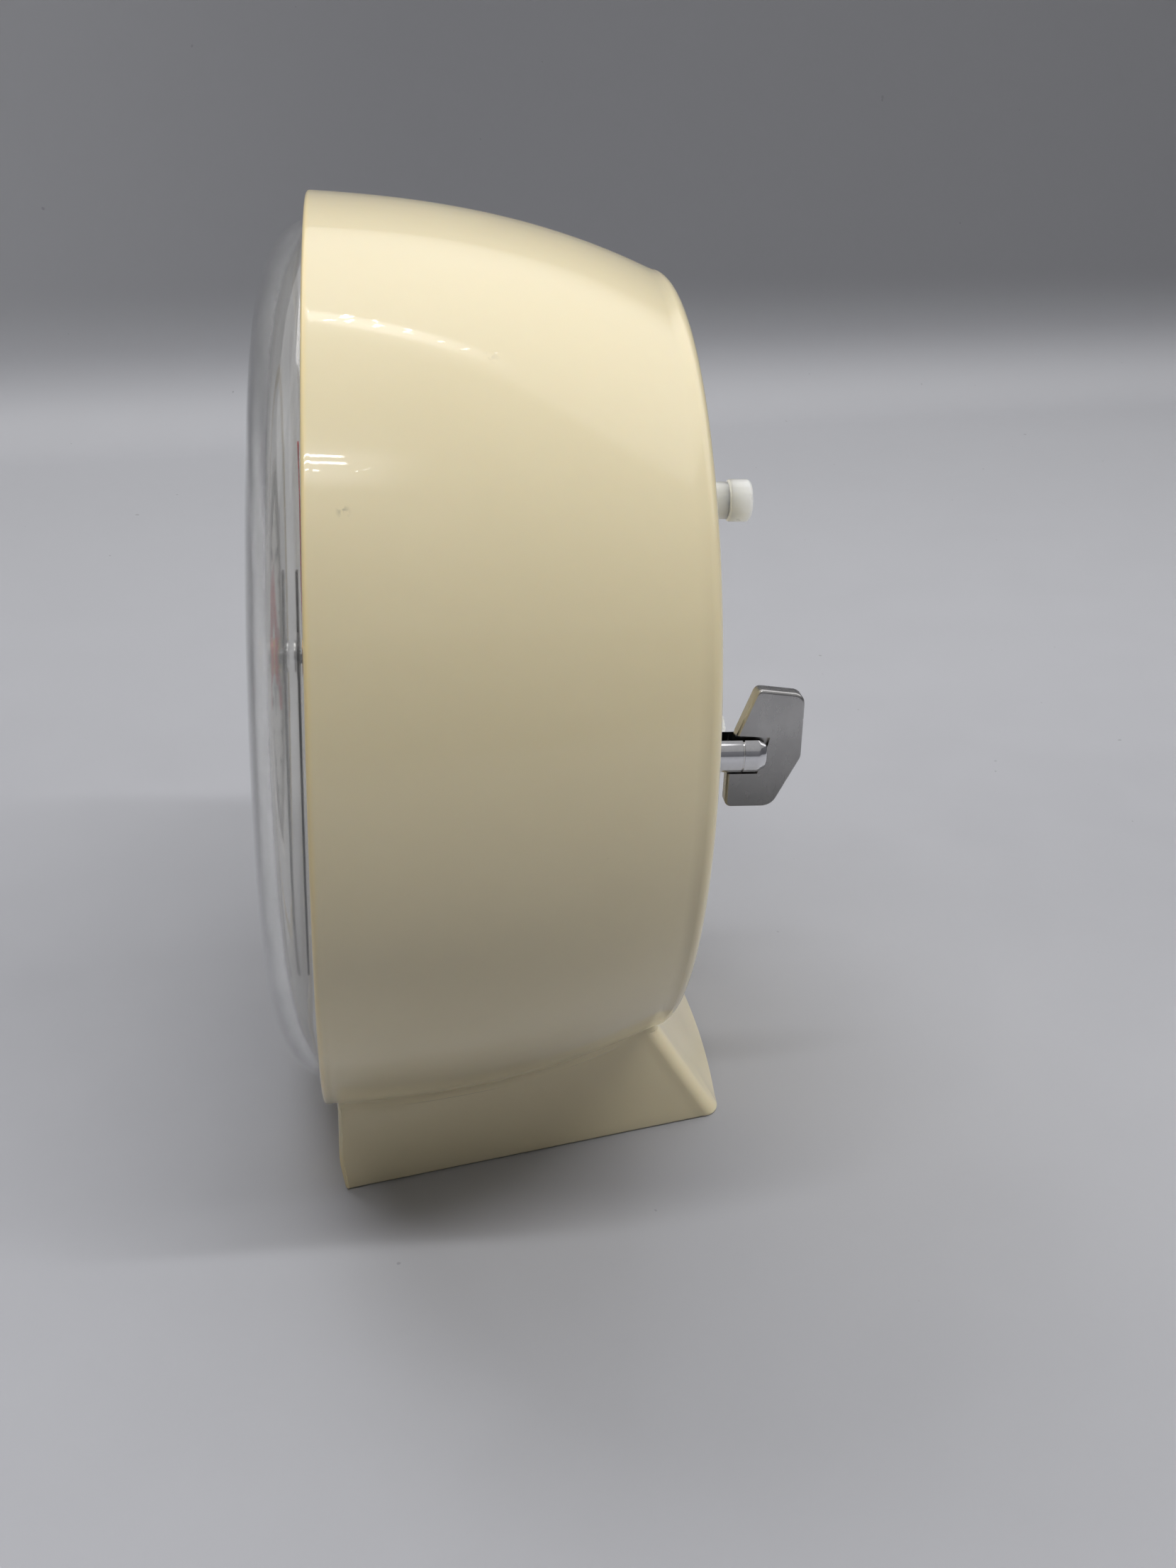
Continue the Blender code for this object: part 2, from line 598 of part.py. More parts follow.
slab("pallet_lever", [pal(1.5, -1.4), pal(0.9, -4.6), pal(3.3, -5.4), pal(3.7, -4.9), pal(1.9, -4.1),
                      pal(2.1, -1.6), pal(1.75, 0.0), pal(2.1, 1.6), pal(1.9, 4.1), pal(3.7, 4.9),
                      pal(3.3, 5.4), pal(0.9, 4.6), pal(1.2, 1.4), pal(0.2, 1.7),
                      tail(1.6, -0.9), tail(6.0, -0.5), tail(6.3, -1.3), tail(7.4, -1.3),
                      tail(7.4, -0.7), tail(6.7, -0.6), tail(6.7, 0.6), tail(7.4, 0.7),
                      tail(7.4, 1.3), tail(6.3, 1.3), tail(6.0, 0.5), tail(1.6, 0.9)],
     [circle(PAL_X, PAL_Z, 1.1, 8)], 15.4, 16.2, steel, (PAL_X, 0, PAL_Z))
rod("balance_staff", (BAL_X, BAL_Z), [(0.6, 6.1, 7.9), (0.9, 7.9, 27.8), (0.6, 27.8, 29.6)],
    dark, 10)
slab("balance_wheel", circle(BAL_X, BAL_Z, 7.4, 36),
     [circle(BAL_X, BAL_Z, 1.2, 8)] + windows(BAL_X, BAL_Z, 2.2, 6.2, 3, 1.0), 19.4, 20.8, brass,
     (BAL_X, 0, BAL_Z))
hs = []
for side in (0, 1):
    seq = range(43) if side == 0 else range(42, -1, -1)
    for k in seq:
        t = k / 42
        r = 1.4 + 3.4 * t + (0.0 if side == 0 else 0.2)
        a = 2 * math.pi * 3.0 * t
        hs.append((BAL_X + r * math.sin(a), BAL_Z + r * math.cos(a)))
slab("hairspring", hs, [], 24.0, 24.6, dark, (BAL_X, 0, BAL_Z))

# ------------------------------------------------------------ setting work
M4 = 2 * math.hypot(SET_X, SET_Z) / (36 + 12)
turned("set_pipe", [(1.35, -2.4), (2.4, -2.4), (2.4, 5.8), (1.35, 5.8)], (0, 0), brass, 16)
slab("set_wheel", gear_outline(0, 0, 36, M4, math.atan2(SET_X, SET_Z)),
     [circle(0, 0, 2.7, 12)] + windows(0, 0, 5.0, 9.6, 4, 2.2, phase=0.3), 4.2, 5.1, brass)
rod("set_arbor", (SET_X, SET_Z), [(1.2, 3.9, 54.8)], dark, 12)
slab("set_pinion", gear_outline(SET_X, SET_Z, 12, M4,
                                math.atan2(-SET_X, -SET_Z) + math.pi / 12, 0.5, 0.95, 0.44, 0.16),
     [circle(SET_X, SET_Z, 1.5, 12)], 4.0, 5.3, dark, (SET_X, 0, SET_Z))

# ---------------------------------------------------------- bell and hammer
bell = [(1.6, 39.2), (1.6, 40.0), (7.3, 39.7), (11.0, 38.0), (12.4, 35.0), (12.5, 32.6),
        (11.7, 32.6), (11.6, 34.9), (10.3, 37.3), (7.1, 38.9)]
turned("bell", bell, (BELL_X, BELL_Z), chrome, 28)
rod("bell_post", (BELL_X, BELL_Z), [(1.2, 28.6, 30.0), (2.0, 30.0, 38.8), (1.2, 38.8, 41.6)],
    steel, 8)
turned("bell_nut", [(1.5, 40.3), (2.8, 40.3), (2.8, 41.5), (1.5, 41.5)], (BELL_X, BELL_Z), steel, 6)
rod("hammer_arbor", (HAM_X, HAM_Z), [(0.9, 25.2, 36.8)], dark, 10)
slab("hammer", [(HAM_X - 2.1, HAM_Z - 1.0), (HAM_X - 1.2, HAM_Z - 2.0), (HAM_X + 1.2, HAM_Z - 2.0),
                (HAM_X + 2.1, HAM_Z - 1.0), (HAM_X + 1.0, HAM_Z + 3.0), (HAM_X + 0.6, HAM_Z + 16.2),
                (HAM_X + 1.6, HAM_Z + 17.4), (HAM_X + 1.6, HAM_Z + 20.4), (HAM_X + 0.6, HAM_Z + 21.4),
                (HAM_X - 1.2, HAM_Z + 21.4), (HAM_X - 2.2, HAM_Z + 20.4), (HAM_X - 2.2, HAM_Z + 17.4),
                (HAM_X - 0.6, HAM_Z + 16.2), (HAM_X - 1.0, HAM_Z + 3.0)],
     [circle(HAM_X, HAM_Z, 1.2, 10)], 33.0, 35.2, dark, (HAM_X, 0, HAM_Z))

# -------------------------------------------------------------- back cover
PAD = -0.9                 # the screws sit in flat sunk pads, below the cover's rim


def cover_lift(x, z):
    r = math.hypot(x, z)
    h = 3.0 * max(1 - (r / 44.4) ** 2, 0.0)
    d = math.hypot(x - KEY_X, z - KEY_Z)
    h += 2.4 * min(max((7.6 - d) / 2.8, 0.0), 1.0)
    d = math.hypot(x - STOP_X, z - STOP_Z)
    h += 1.2 * min(max((5.2 - d) / 1.4, 0.0), 1.0)
    d = min(math.hypot(x - px, z - pz) for px, pz in posts)   # flat pads under the screws
    w = min(max((3.7 - d) / 0.6, 0.0), 1.0)
    return h * (1 - w) + PAD * w


cover_holes = [circle(KEY_X, KEY_Z, 3.1, 16), circle(STOP_X, STOP_Z, 2.7, 14),
               circle(SET_X, SET_Z, 1.7, 12)] + [circle(x, z, 1.6, 10) for x, z in posts]
# four sound slots over the bell
for k in range(4):
    xs = -28.5 + 5.0 * k
    cover_holes.append([(xs - 0.9, 6.0), (xs + 0.9, 6.0), (xs + 0.9, 17.0), (xs, 17.8),
                        (xs - 0.9, 17.0)])
steiner = []
for r, n in ((9, 8), (20, 16), (31, 22), (39, 28)):
    for p in circle(0, 0, r, n, 0.1):
        clear_of = all(math.hypot(p[0] - cx, p[1] - cz) > rr for cx, cz, rr in
                       [(KEY_X, KEY_Z, 8.6), (STOP_X, STOP_Z, 6.0), (SET_X, SET_Z, 2.4)] +
                       [(x, z, 5.0) for x, z in posts])
        if clear_of and not (-31 < p[0] < -12 and 5 < p[1] < 19):
            steiner.append(p)
for r in (4.8, 7.6):
    steiner += circle(KEY_X, KEY_Z, r, 16)
for r in (4.0, 5.2):
    steiner += circle(STOP_X, STOP_Z, r, 12)
for x, z in posts:
    steiner += circle(x, z, 3.1, 14) + circle(x, z, 3.7, 14)
slab("back_cover", circle(0, 0, 44.4, 56), cover_holes, 42.6, 44.2, cream, extra=steiner,
     lift=cover_lift, sharp=40)
for i, (x, z) in enumerate(posts, 1):
    y = 44.2 + PAD + GAP
    rod("cover_screw_%d" % i, (x, z), [(1.2, 36.4, y), (2.6, y, y + 1.3)], steel, 12)

# --------------------------------------------------- knobs on the back
nylon = material("nylon_white", (0.78, 0.79, 0.74), 0.35)
turned("stop_knob", [(0, 52.7), (2.4, 52.7), (2.72, 53.0), (2.74, 55.2), (2.45, 55.6), (0, 55.6)],
       (STOP_X, STOP_Z), nylon, 24)
rod("stop_stem", (STOP_X, STOP_Z), [(1.2, 27.0, 42.0), (2.35, 42.0, 52.4)], nylon, 18)
turned("set_knob", [(1.5, 48.2), (3.4, 48.2), (3.4, 50.0), (4.5, 50.4), (4.5, 55.0), (4.1, 55.4),
                    (1.5, 55.4)],
       (SET_X, SET_Z), nylon, 24)

# --------------------------------------------------- forked hub, wing, pin
HUB_R = 2.56
SLOT = 1.40                # half width of the fork's slot


def fork(name, mat):
    """Round hub with a slot across its outer end, rounded over at the tip."""
    prof = [(0, 48.2), (HUB_R, 48.2), (HUB_R, 52.2), (2.42, 52.32), (HUB_R, 52.44),
            (HUB_R, 54.2), (2.42, 54.8), (2.05, 55.2), (1.5, 55.4), (0, 55.4)]
    ob = turned(name, prof, (KEY_X, KEY_Z), mat, 24)
    verts = [(KEY_X + sx * SLOT, y, KEY_Z + z) for sx in (-1, 1) for y in (49.4, 57.0)
             for z in (-4.0, 4.0)]
    faces = [(0, 1, 3, 2), (4, 6, 7, 5), (0, 4, 5, 1), (2, 3, 7, 6), (0, 2, 6, 4), (1, 5, 7, 3)]
    c = make_object("fork_slot_cutter", verts, faces, mat)
    c.hide_render = True
    c.display_type = "WIRE"
    m = ob.modifiers.new("slot", "BOOLEAN")
    m.operation = "DIFFERENCE"
    m.object = c
    return ob


hub = fork("key_hub", chrome)
PIN_Y, PIN_R = 53.4, 0.7


def cross_rod(name, radius, x0, x1, mat, cutter=False, n=14):
    verts, faces = [], []
    for x in (x0, x1):
        for k in range(n):
            a = 2 * math.pi * k / n
            verts.append((x, PIN_Y + radius * math.cos(a), KEY_Z + radius * math.sin(a)))
    faces.append(tuple(range(n)))
    faces.append(tuple(reversed(range(n, 2 * n))))
    for k in range(n):
        faces.append((k, (k + 1) % n, n + (k + 1) % n, n + k))
    ob = make_object(name, verts, faces, mat, (KEY_X, PIN_Y, KEY_Z))
    if cutter:
        ob.hide_render = True
        ob.display_type = "WIRE"
    return ob


pin_cut = cross_rod("fork_pin_cutter", PIN_R + 0.3, KEY_X - 2.25, KEY_X + 2.25, chrome, True)
m = hub.modifiers.new("pin_hole", "BOOLEAN")
m.operation = "DIFFERENCE"
m.object = pin_cut
cross_rod("key_pin", PIN_R, KEY_X - 1.95, KEY_X + 1.95, steel)

WING_T = 1.1               # half thickness of the wing
wing_yz = [(53.75, 2.95), (54.1, 3.1), (58.3, 2.6), (59.2, 2.0), (59.75, 0.6), (59.88, -5.7),
           (59.6, -6.7), (57.0, -11.9), (56.2, -12.5), (55.2, -12.75), (51.5, -12.75),
           (50.85, -12.5), (50.6, -11.9), (50.6, -7.8), (51.35, -3.2), (53.4, 2.4)]


def build_wing(mat):
    """Flat wing in the Y-Z plane, with bevelled faces and a pin hole."""
    cy = sum(p[0] for p in wing_yz) / len(wing_yz)
    cz = sum(p[1] for p in wing_yz) / len(wing_yz)
    inner = []
    nn = len(wing_yz)
    for i in range(nn):
        y, z = wing_yz[i]
        y0, z0 = wing_yz[i - 1]
        y2, z2 = wing_yz[(i + 1) % nn]
        ty, tz_ = y2 - y0, z2 - z0
        l = math.hypot(ty, tz_)
        ny, nz = tz_ / l, -ty / l
        if (cy - y) * ny + (cz - z) * nz < 0:
            ny, nz = -ny, -nz
        inner.append((y + 0.3 * ny, z + 0.3 * nz))
    hole = [(PIN_Y + (PIN_R + 0.3) * math.cos(2 * math.pi * k / 12),
             KEY_Z + (PIN_R + 0.3) * math.sin(2 * math.pi * k / 12)) for k in range(12)]
    pts = [Vector(p) for p in inner] + [Vector(p) for p in hole]
    e = [(i, (i + 1) % nn) for i in range(nn)] + [(nn + i, nn + (i + 1) % 12) for i in range(12)]
    vo, _, fo, _, _, _ = delaunay_2d_cdt(pts, e, [], 0, 1e-6)
    tri = []
    for f in fo:
        my = sum(vo[i][0] for i in f) / len(f)
        mz = sum(vo[i][1] for i in f) / len(f)
        if inside(inner, my, mz) and not inside(hole, my, mz):
            tri.append(tuple(f))
    nv = len(vo)
    verts = [(KEY_X - WING_T, v[0], v[1]) for v in vo] + [(KEY_X + WING_T, v[0], v[1]) for v in vo]
    base = len(verts)
    verts += [(KEY_X - WING_T + 0.3, y, z) for y, z in wing_yz]
    verts += [(KEY_X + WING_T - 0.3, y, z) for y, z in wing_yz]
    faces = list(tri) + [tuple(i + nv for i in reversed(f)) for f in tri]
    order = []
    for p in inner:
        order.append(min(range(nv), key=lambda q: (vo[q][0] - p[0]) ** 2 + (vo[q][1] - p[1]) ** 2))
    ho = []
    for p in hole:
        ho.append(min(range(nv), key=lambda q: (vo[q][0] - p[0]) ** 2 + (vo[q][1] - p[1]) ** 2))
    for i in range(nn):
        j = (i + 1) % nn
        faces.append((order[i], order[j], base + j, base + i))
        faces.append((base + i, base + j, base + nn + j, base + nn + i))
        faces.append((base + nn + i, base + nn + j, order[j] + nv, order[i] + nv))
    for i in range(12):
        j = (i + 1) % 12
        faces.append((ho[i], ho[j], ho[j] + nv, ho[i] + nv))
    return make_object("key_wing", verts, faces, mat, (KEY_X, PIN_Y, KEY_Z))


build_wing(material("wing_satin", (0.42, 0.42, 0.42), 0.3, 1.0))
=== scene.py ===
"""Looks of the key-wound kitchen timer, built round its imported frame.
Layout lengths below are millimetres in the case's own layout: y = 0 is the
front rim plane, x = z = 0 the drum's axis, the dial faces -Y, Z is up."""
import math

import bpy
import bmesh
import numpy as np
from mathutils import Matrix, Vector
from mathutils.geometry import delaunay_2d_cdt


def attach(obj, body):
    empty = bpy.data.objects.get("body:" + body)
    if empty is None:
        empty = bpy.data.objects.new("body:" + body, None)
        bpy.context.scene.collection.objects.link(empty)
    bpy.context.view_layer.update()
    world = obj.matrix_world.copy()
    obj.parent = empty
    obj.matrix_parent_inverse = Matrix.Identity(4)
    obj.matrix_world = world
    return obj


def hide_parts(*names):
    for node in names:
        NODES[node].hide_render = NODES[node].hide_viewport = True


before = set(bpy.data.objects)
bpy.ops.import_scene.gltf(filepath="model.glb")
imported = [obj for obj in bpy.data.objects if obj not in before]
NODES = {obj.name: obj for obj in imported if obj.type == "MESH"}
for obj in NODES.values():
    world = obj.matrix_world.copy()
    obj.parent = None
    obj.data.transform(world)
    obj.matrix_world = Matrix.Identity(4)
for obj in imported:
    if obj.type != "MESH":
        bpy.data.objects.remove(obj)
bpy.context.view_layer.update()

OY, OZ = -26.55, 61.0


def W(x, y, z):
    return (x / 1000.0, (y + OY) / 1000.0, (z + OZ) / 1000.0)


# layout constants of the object
FOOT_Z, RIM_R, CASE_END, WALL = -61.0, 57.45, 43.6, 2.2
SEAT_R, OPENING_R, LEDGE_R = 54.6, 44.8, 42.6
KEY_X, KEY_Z = 20.0, -5.6
STOP_X, STOP_Z = 0.0, 21.0
SET_X, SET_Z = -5.0, -15.2
BELL_X, BELL_Z = -19.0, 10.0
POSTS = [(29.0, 26.0), (29.0, -26.0), (-29.0, -26.0), (-29.0, 26.0)]
PAD = -0.9


# =================================================================== materials
class Shader:
    """A Principled material built from nodes, in the object's own space."""

    def __init__(self, name, **constants):
        self.m = bpy.data.materials.new(name)
        self.m.use_nodes = True
        self.nt = self.m.node_tree
        self.bsdf = self.nt.nodes["Principled BSDF"]
        for key, value in constants.items():
            self.bsdf.inputs[key.replace("_", " ")].default_value = value
        self.coord = self.add("ShaderNodeTexCoord")
        self.place = self.coord.outputs["Object"]

    def add(self, kind, **props):
        n = self.nt.nodes.new(kind)
        for key, value in props.items():
            setattr(n, key, value)
        return n

    def link(self, a, b):
        self.nt.links.new(a, b)

    def stretched(self, scale, rotation=(0, 0, 0)):
        n = self.add("ShaderNodeMapping")
        n.inputs["Scale"].default_value = scale
        n.inputs["Rotation"].default_value = rotation
        self.link(self.place, n.inputs["Vector"])
        return n.outputs["Vector"]

    def noise(self, scale, detail=3.0, rough=0.55, vector=None, distortion=0.0):
        n = self.add("ShaderNodeTexNoise")
        n.inputs["Scale"].default_value = scale
        n.inputs["Detail"].default_value = detail
        n.inputs["Roughness"].default_value = rough
        n.inputs["Distortion"].default_value = distortion
        self.link(vector or self.place, n.inputs["Vector"])
        return n.outputs["Fac"]

    def remap(self, value, a, b, c, d, smooth=False):
        n = self.add("ShaderNodeMapRange")
        if smooth:
            n.interpolation_type = "SMOOTHSTEP"
        for i, x in zip((1, 2, 3, 4), (a, b, c, d)):
            n.inputs[i].default_value = x
        self.link(value, n.inputs[0])
        return n.outputs[0]

    def ramp(self, value, stops):
        n = self.add("ShaderNodeValToRGB")
        r = n.color_ramp
        while len(r.elements) < len(stops):
            r.elements.new(0.5)
        for e, (p, c) in zip(r.elements, stops):
            e.position = p
            e.color = (c[0], c[1], c[2], 1.0)
        self.link(value, n.inputs["Fac"])
        return n.outputs["Color"]

    def mix(self, fac, a, b, mode="MIX"):
        n = self.add("ShaderNodeMix", data_type="RGBA", blend_type=mode)
        self.link(fac, n.inputs[0])
        for sock, x in ((n.inputs[6], a), (n.inputs[7], b)):
            if isinstance(x, tuple):
                sock.default_value = (x[0], x[1], x[2], 1.0)
            else:
                self.link(x, sock)
        return n.outputs[2]

    def math(self, op, a, b=None, c=None, clamp=False):
        n = self.add("ShaderNodeMath", operation=op, use_clamp=clamp)
        for i, x in enumerate((a, b, c)):
            if x is None:
                continue
            if isinstance(x, (int, float)):
                n.inputs[i].default_value = x
            else:
                self.link(x, n.inputs[i])
        return n.outputs[0]

    def xyz(self):
        n = self.add("ShaderNodeSeparateXYZ")
        self.link(self.place, n.inputs[0])
        return n.outputs

    def near(self, point, radius, soft=1.0):
        """1 close to a layout point, falling to 0 at radius (millimetres)."""
        n = self.add("ShaderNodeVectorMath", operation="DISTANCE")
        self.link(self.place, n.inputs[0])
        n.inputs[1].default_value = W(*point)
        return self.remap(n.outputs["Value"], radius / 1000.0 * (1 - soft), radius / 1000.0,
                          1.0, 0.0, True)

    def bump(self, parts):
        """parts: (height socket, strength, distance in metres)."""
        normal = None
        for height, strength, dist in parts:
            n = self.add("ShaderNodeBump")
            n.inputs["Strength"].default_value = strength
            n.inputs["Distance"].default_value = dist
            self.link(height, n.inputs["Height"])
            if normal is not None:
                self.link(normal, n.inputs["Normal"])
            normal = n.outputs["Normal"]
        self.link(normal, self.bsdf.inputs["Normal"])

    def out(self, colour=None, rough=None):
        if colour is not None:
            self.link(colour, self.bsdf.inputs["Base Color"])
        if rough is not None:
            self.link(rough, self.bsdf.inputs["Roughness"])
        return self.m


def cream_material(name, lip_glow_and_marks=True):
    s = Shader(name, IOR=1.5)
    b = s.bsdf
    b.inputs["Coat Weight"].default_value = 0.9
    b.inputs["Coat Roughness"].default_value = 0.022
    b.inputs["Subsurface Weight"].default_value = 0.10
    b.inputs["Subsurface Radius"].default_value = (1.0, 0.62, 0.3)
    b.inputs["Subsurface Scale"].default_value = 0.0022
    broad = s.noise(26.0, 3.0, 0.5)
    fine = s.noise(420.0, 4.0, 0.6)
    body = s.ramp(broad, [(0.30, (0.765, 0.664, 0.424)), (0.50, (0.780, 0.680, 0.438)),
                          (0.72, (0.792, 0.694, 0.452))])
    mott = s.remap(fine, 0.3, 0.7, 0.0, 0.05)
    body = s.mix(mott, body, (0.64, 0.55, 0.35))
    x, y, z = s.xyz()
    if lip_glow_and_marks:
        # painted light: a deeper yellow band on the thin front lip and the foot's front edge stands in
        # for light glowing through the thin plastic there
        lean = s.remap(z, (OZ - 46.0) / 1000, (OZ - 61.0) / 1000, 0.0, 0.0023)
        lip = s.math("SUBTRACT", s.math("SUBTRACT", y, OY / 1000.0), lean)
        waver = s.remap(s.noise(90.0, 2.0), 0.3, 0.7, -0.00012, 0.00012)
        lip = s.math("ADD", lip, waver)
        painted_lip_glow = s.remap(lip, 0.0008, 0.0001, 0.0, 1.0, True)
        body = s.mix(s.math("MULTIPLY", painted_lip_glow, 0.75), body, (0.84, 0.67, 0.33))
        # handling marks and a little grime in the crease over the foot
        for p, r, amount in (((25.0, 19.6, -46.6), 1.7, 0.75), ((26.3, 20.1, -45.2), 0.8, 0.7),
                             ((40.3, 12.9, 36.0), 1.3, 0.0), ((32.0, 19.3, 44.6), 1.5, 0.34),
                             ((46.9, 4.1, 32.9), 0.9, 0.42), ((53.3, 9.0, 9.0), 1.5, 0.2),
                             ((52.5, 17.0, -17.0), 1.2, 0.16), ((47.0, 30.0, -20.0), 1.3, 0.16),
                             ((-38.0, 18.0, 38.0), 1.6, 0.3), ((-50.0, 27.0, -12.0), 1.1, 0.3)):
            if amount == 0.0:
                continue
            blot = s.remap(s.noise(900.0, 3.0, 0.6), 0.46, 0.56, 0.0, 1.0, True)
            body = s.mix(s.math("MULTIPLY", s.math("MULTIPLY", s.near(p, r), blot), amount),
                         body, (0.12, 0.115, 0.09))
    specks = s.remap(s.noise(330.0, 1.0, 0.4), 0.835, 0.86, 0.0, 0.3, True)
    body = s.mix(specks, body, (0.45, 0.38, 0.25))
    rough = s.remap(s.noise(60.0, 4.0, 0.6), 0.3, 0.7, 0.30, 0.40)
    scratch = s.noise(520.0, 2.0, 0.5, s.stretched((1.0, 0.06, 1.0), (0.3, 0.0, 0.5)))
    s.bump([(s.noise(150.0, 2.0, 0.5), 0.10, 0.0004), (scratch, 0.05, 0.00008),
            (s.noise(2600.0, 2.0, 0.5), 0.04, 0.00004)])
    return s.out(body, rough)


def metal_material(name, dark, light, r0, r1, stretch=(1, 1, 1), grain=900.0, bump=0.1,
                   rotation=(0, 0, 0), smudge=40.0, tarnish=None, painted_low_shade=None):
    s = Shader(name, Metallic=1.0)
    vec = s.stretched(stretch, rotation)
    line = s.noise(grain, 3.0, 0.6, vec)
    cloud = s.noise(smudge, 4.0, 0.6)
    mixed = s.math("ADD", s.math("MULTIPLY", line, 0.45), s.math("MULTIPLY", cloud, 0.55))
    colour = s.ramp(mixed, [(0.34, dark), (0.62, light)])
    if tarnish:
        spots = s.remap(s.noise(260.0, 4.0, 0.65), 0.60, 0.74, 0.0, 0.6, True)
        colour = s.mix(spots, colour, tarnish)
    if painted_low_shade:
        # painted shade: the part is painted darker toward its lower end, rising to its plain colour with
        # height
        height = s.math("ADD", s.xyz()[2], s.remap(cloud, 0.3, 0.7, -0.0012, 0.0012))
        colour = s.mix(s.remap(height, painted_low_shade[0], painted_low_shade[1], 0.0, 1.0), painted_low_shade[2], colour)
    rough = s.remap(mixed, 0.35, 0.65, r0, r1)
    s.bump([(line, bump, 0.00003), (cloud, 0.03, 0.0001)])
    return s.out(colour, rough)


def paint_material(name, dark, light, r0, r1, coat=0.0, scale=120.0, bump=0.06):
    s = Shader(name)
    s.bsdf.inputs["Coat Weight"].default_value = coat
    s.bsdf.inputs["Coat Roughness"].default_value = 0.12
    cloud = s.noise(scale, 4.0, 0.6)
    colour = s.ramp(cloud, [(0.3, dark), (0.7, light)])
    rough = s.remap(s.noise(scale * 2.5, 3.0), 0.3, 0.7, r0, r1)
    s.bump([(s.noise(scale * 12, 2.0), bump, 0.00003)])
    return s.out(colour, rough)


def nylon_material():
    s = Shader("natural_nylon", IOR=1.53)
    b = s.bsdf
    b.inputs["Subsurface Weight"].default_value = 1.0
    b.inputs["Subsurface Radius"].default_value = (1.0, 0.94, 0.78)
    b.inputs["Subsurface Scale"].default_value = 0.016
    b.inputs["Coat Weight"].default_value = 0.5
    b.inputs["Coat Roughness"].default_value = 0.04
    cloud = s.noise(260.0, 3.0, 0.5)
    colour = s.ramp(cloud, [(0.3, (0.80, 0.785, 0.655)), (0.7, (0.85, 0.84, 0.72))])
    rough = s.remap(s.noise(500.0, 2.0), 0.3, 0.7, 0.26, 0.36)
    s.bump([(s.noise(900.0, 2.0), 0.08, 0.00005)])
    return s.out(colour, rough)


def lens_material():
    # thin moulded shell: it hardly bends what is seen through it, so the body has a
    # low index and the bright surface reflection comes from the coat
    s = Shader("clear_acrylic", IOR=1.10)
    b = s.bsdf
    haze = s.noise(70.0, 3.0, 0.5)
    # aged acrylic: a thin milky haze that varies in patches
    s.link(s.remap(haze, 0.3, 0.7, 0.92, 0.97), b.inputs["Transmission Weight"])
    colour = s.ramp(haze, [(0.3, (0.93, 0.924, 0.90)), (0.7, (0.97, 0.967, 0.95))])
    fine = s.noise(700.0, 3.0, 0.6, s.stretched((1.0, 1.0, 0.25), (0.0, 0.4, 0.0)))
    rough = s.remap(fine, 0.35, 0.75, 0.05, 0.11)
    b.inputs["Coat Weight"].default_value = 1.0
    b.inputs["Coat Roughness"].default_value = 0.015
    s.bump([(s.noise(55.0, 2.0, 0.5), 0.05, 0.0003), (fine, 0.02, 0.00003)])
    return s.out(colour, rough)


def dial_material():
    s = Shader("dial_pale_lacquer", Metallic=0.0)
    x, y, z = s.xyz()
    # fine turned grain, concentric round the centre
    r = s.math("SQRT", s.math("ADD", s.math("MULTIPLY", x, x),
                              s.math("MULTIPLY", s.math("SUBTRACT", z, OZ / 1000.0),
                                     s.math("SUBTRACT", z, OZ / 1000.0))))
    ring = s.add("ShaderNodeCombineXYZ")
    s.link(r, ring.inputs[0])
    grain = s.noise(2600.0, 2.0, 0.5, ring.outputs[0])
    cloud = s.noise(35.0, 3.0)
    colour = s.ramp(s.math("ADD", s.math("MULTIPLY", grain, 0.5), s.math("MULTIPLY", cloud, 0.5)),
                    [(0.32, (0.76, 0.75, 0.705)), (0.66, (0.84, 0.83, 0.785))])
    rough = s.remap(grain, 0.3, 0.7, 0.34, 0.46)
    s.bump([(grain, 0.12, 0.00003)])
    return s.out(colour, rough)


CREAM = cream_material("cream_moulded")
COVER = cream_material("cream_cover", lip_glow_and_marks=False)
LENS = lens_material()
NYLON = nylon_material()
DIAL = dial_material()
RING = metal_material("bright_ring", (0.78, 0.78, 0.77), (0.90, 0.90, 0.89), 0.26, 0.38,
                      smudge=60.0, grain=500.0, bump=0.05)
PRINT = paint_material("dial_black_print", (0.012, 0.012, 0.013), (0.03, 0.03, 0.032), 0.42, 0.55)
BLACK = paint_material("hand_black_lacquer", (0.010, 0.010, 0.012), (0.035, 0.035, 0.038), 0.25,
                       0.38, coat=0.3)
RED = paint_material("hand_red_lacquer", (0.50, 0.022, 0.014), (0.66, 0.045, 0.03), 0.28, 0.4,
                     coat=0.3)
CHROME = metal_material("polished_chrome", (0.78, 0.78, 0.79), (0.86, 0.86, 0.87), 0.035, 0.085,
                        stretch=(1, 1, 1), grain=1200.0, bump=0.05, smudge=300.0)
# the wing's lower end carries painted shade, darker toward the bottom
SATIN = metal_material("satin_wing", (0.455, 0.448, 0.437), (0.56, 0.552, 0.54), 0.19, 0.33,
                       stretch=(1, 1.0, 0.3), grain=380.0, bump=0.06, rotation=(0.5, 0, 0),
                       smudge=150.0, painted_low_shade=(0.0488, 0.0600, (0.235, 0.23, 0.222)))
STEEL = metal_material("plated_steel", (0.46, 0.46, 0.47), (0.60, 0.60, 0.61), 0.24, 0.42,
                       stretch=(1, 1, 0.08), grain=1400.0, bump=0.14, smudge=70.0,
                       tarnish=(0.42, 0.39, 0.34))
HARD = metal_material("hardened_steel", (0.30, 0.31, 0.33), (0.46, 0.47, 0.49), 0.20, 0.34,
                      stretch=(1, 0.1, 1), grain=1600.0, bump=0.10, smudge=120.0)
BRASS = metal_material("stamped_brass", (0.62, 0.43, 0.15), (0.79, 0.58, 0.25), 0.20, 0.36,
                       stretch=(1, 1, 0.12), grain=1300.0, bump=0.10, smudge=80.0,
                       tarnish=(0.42, 0.26, 0.09))


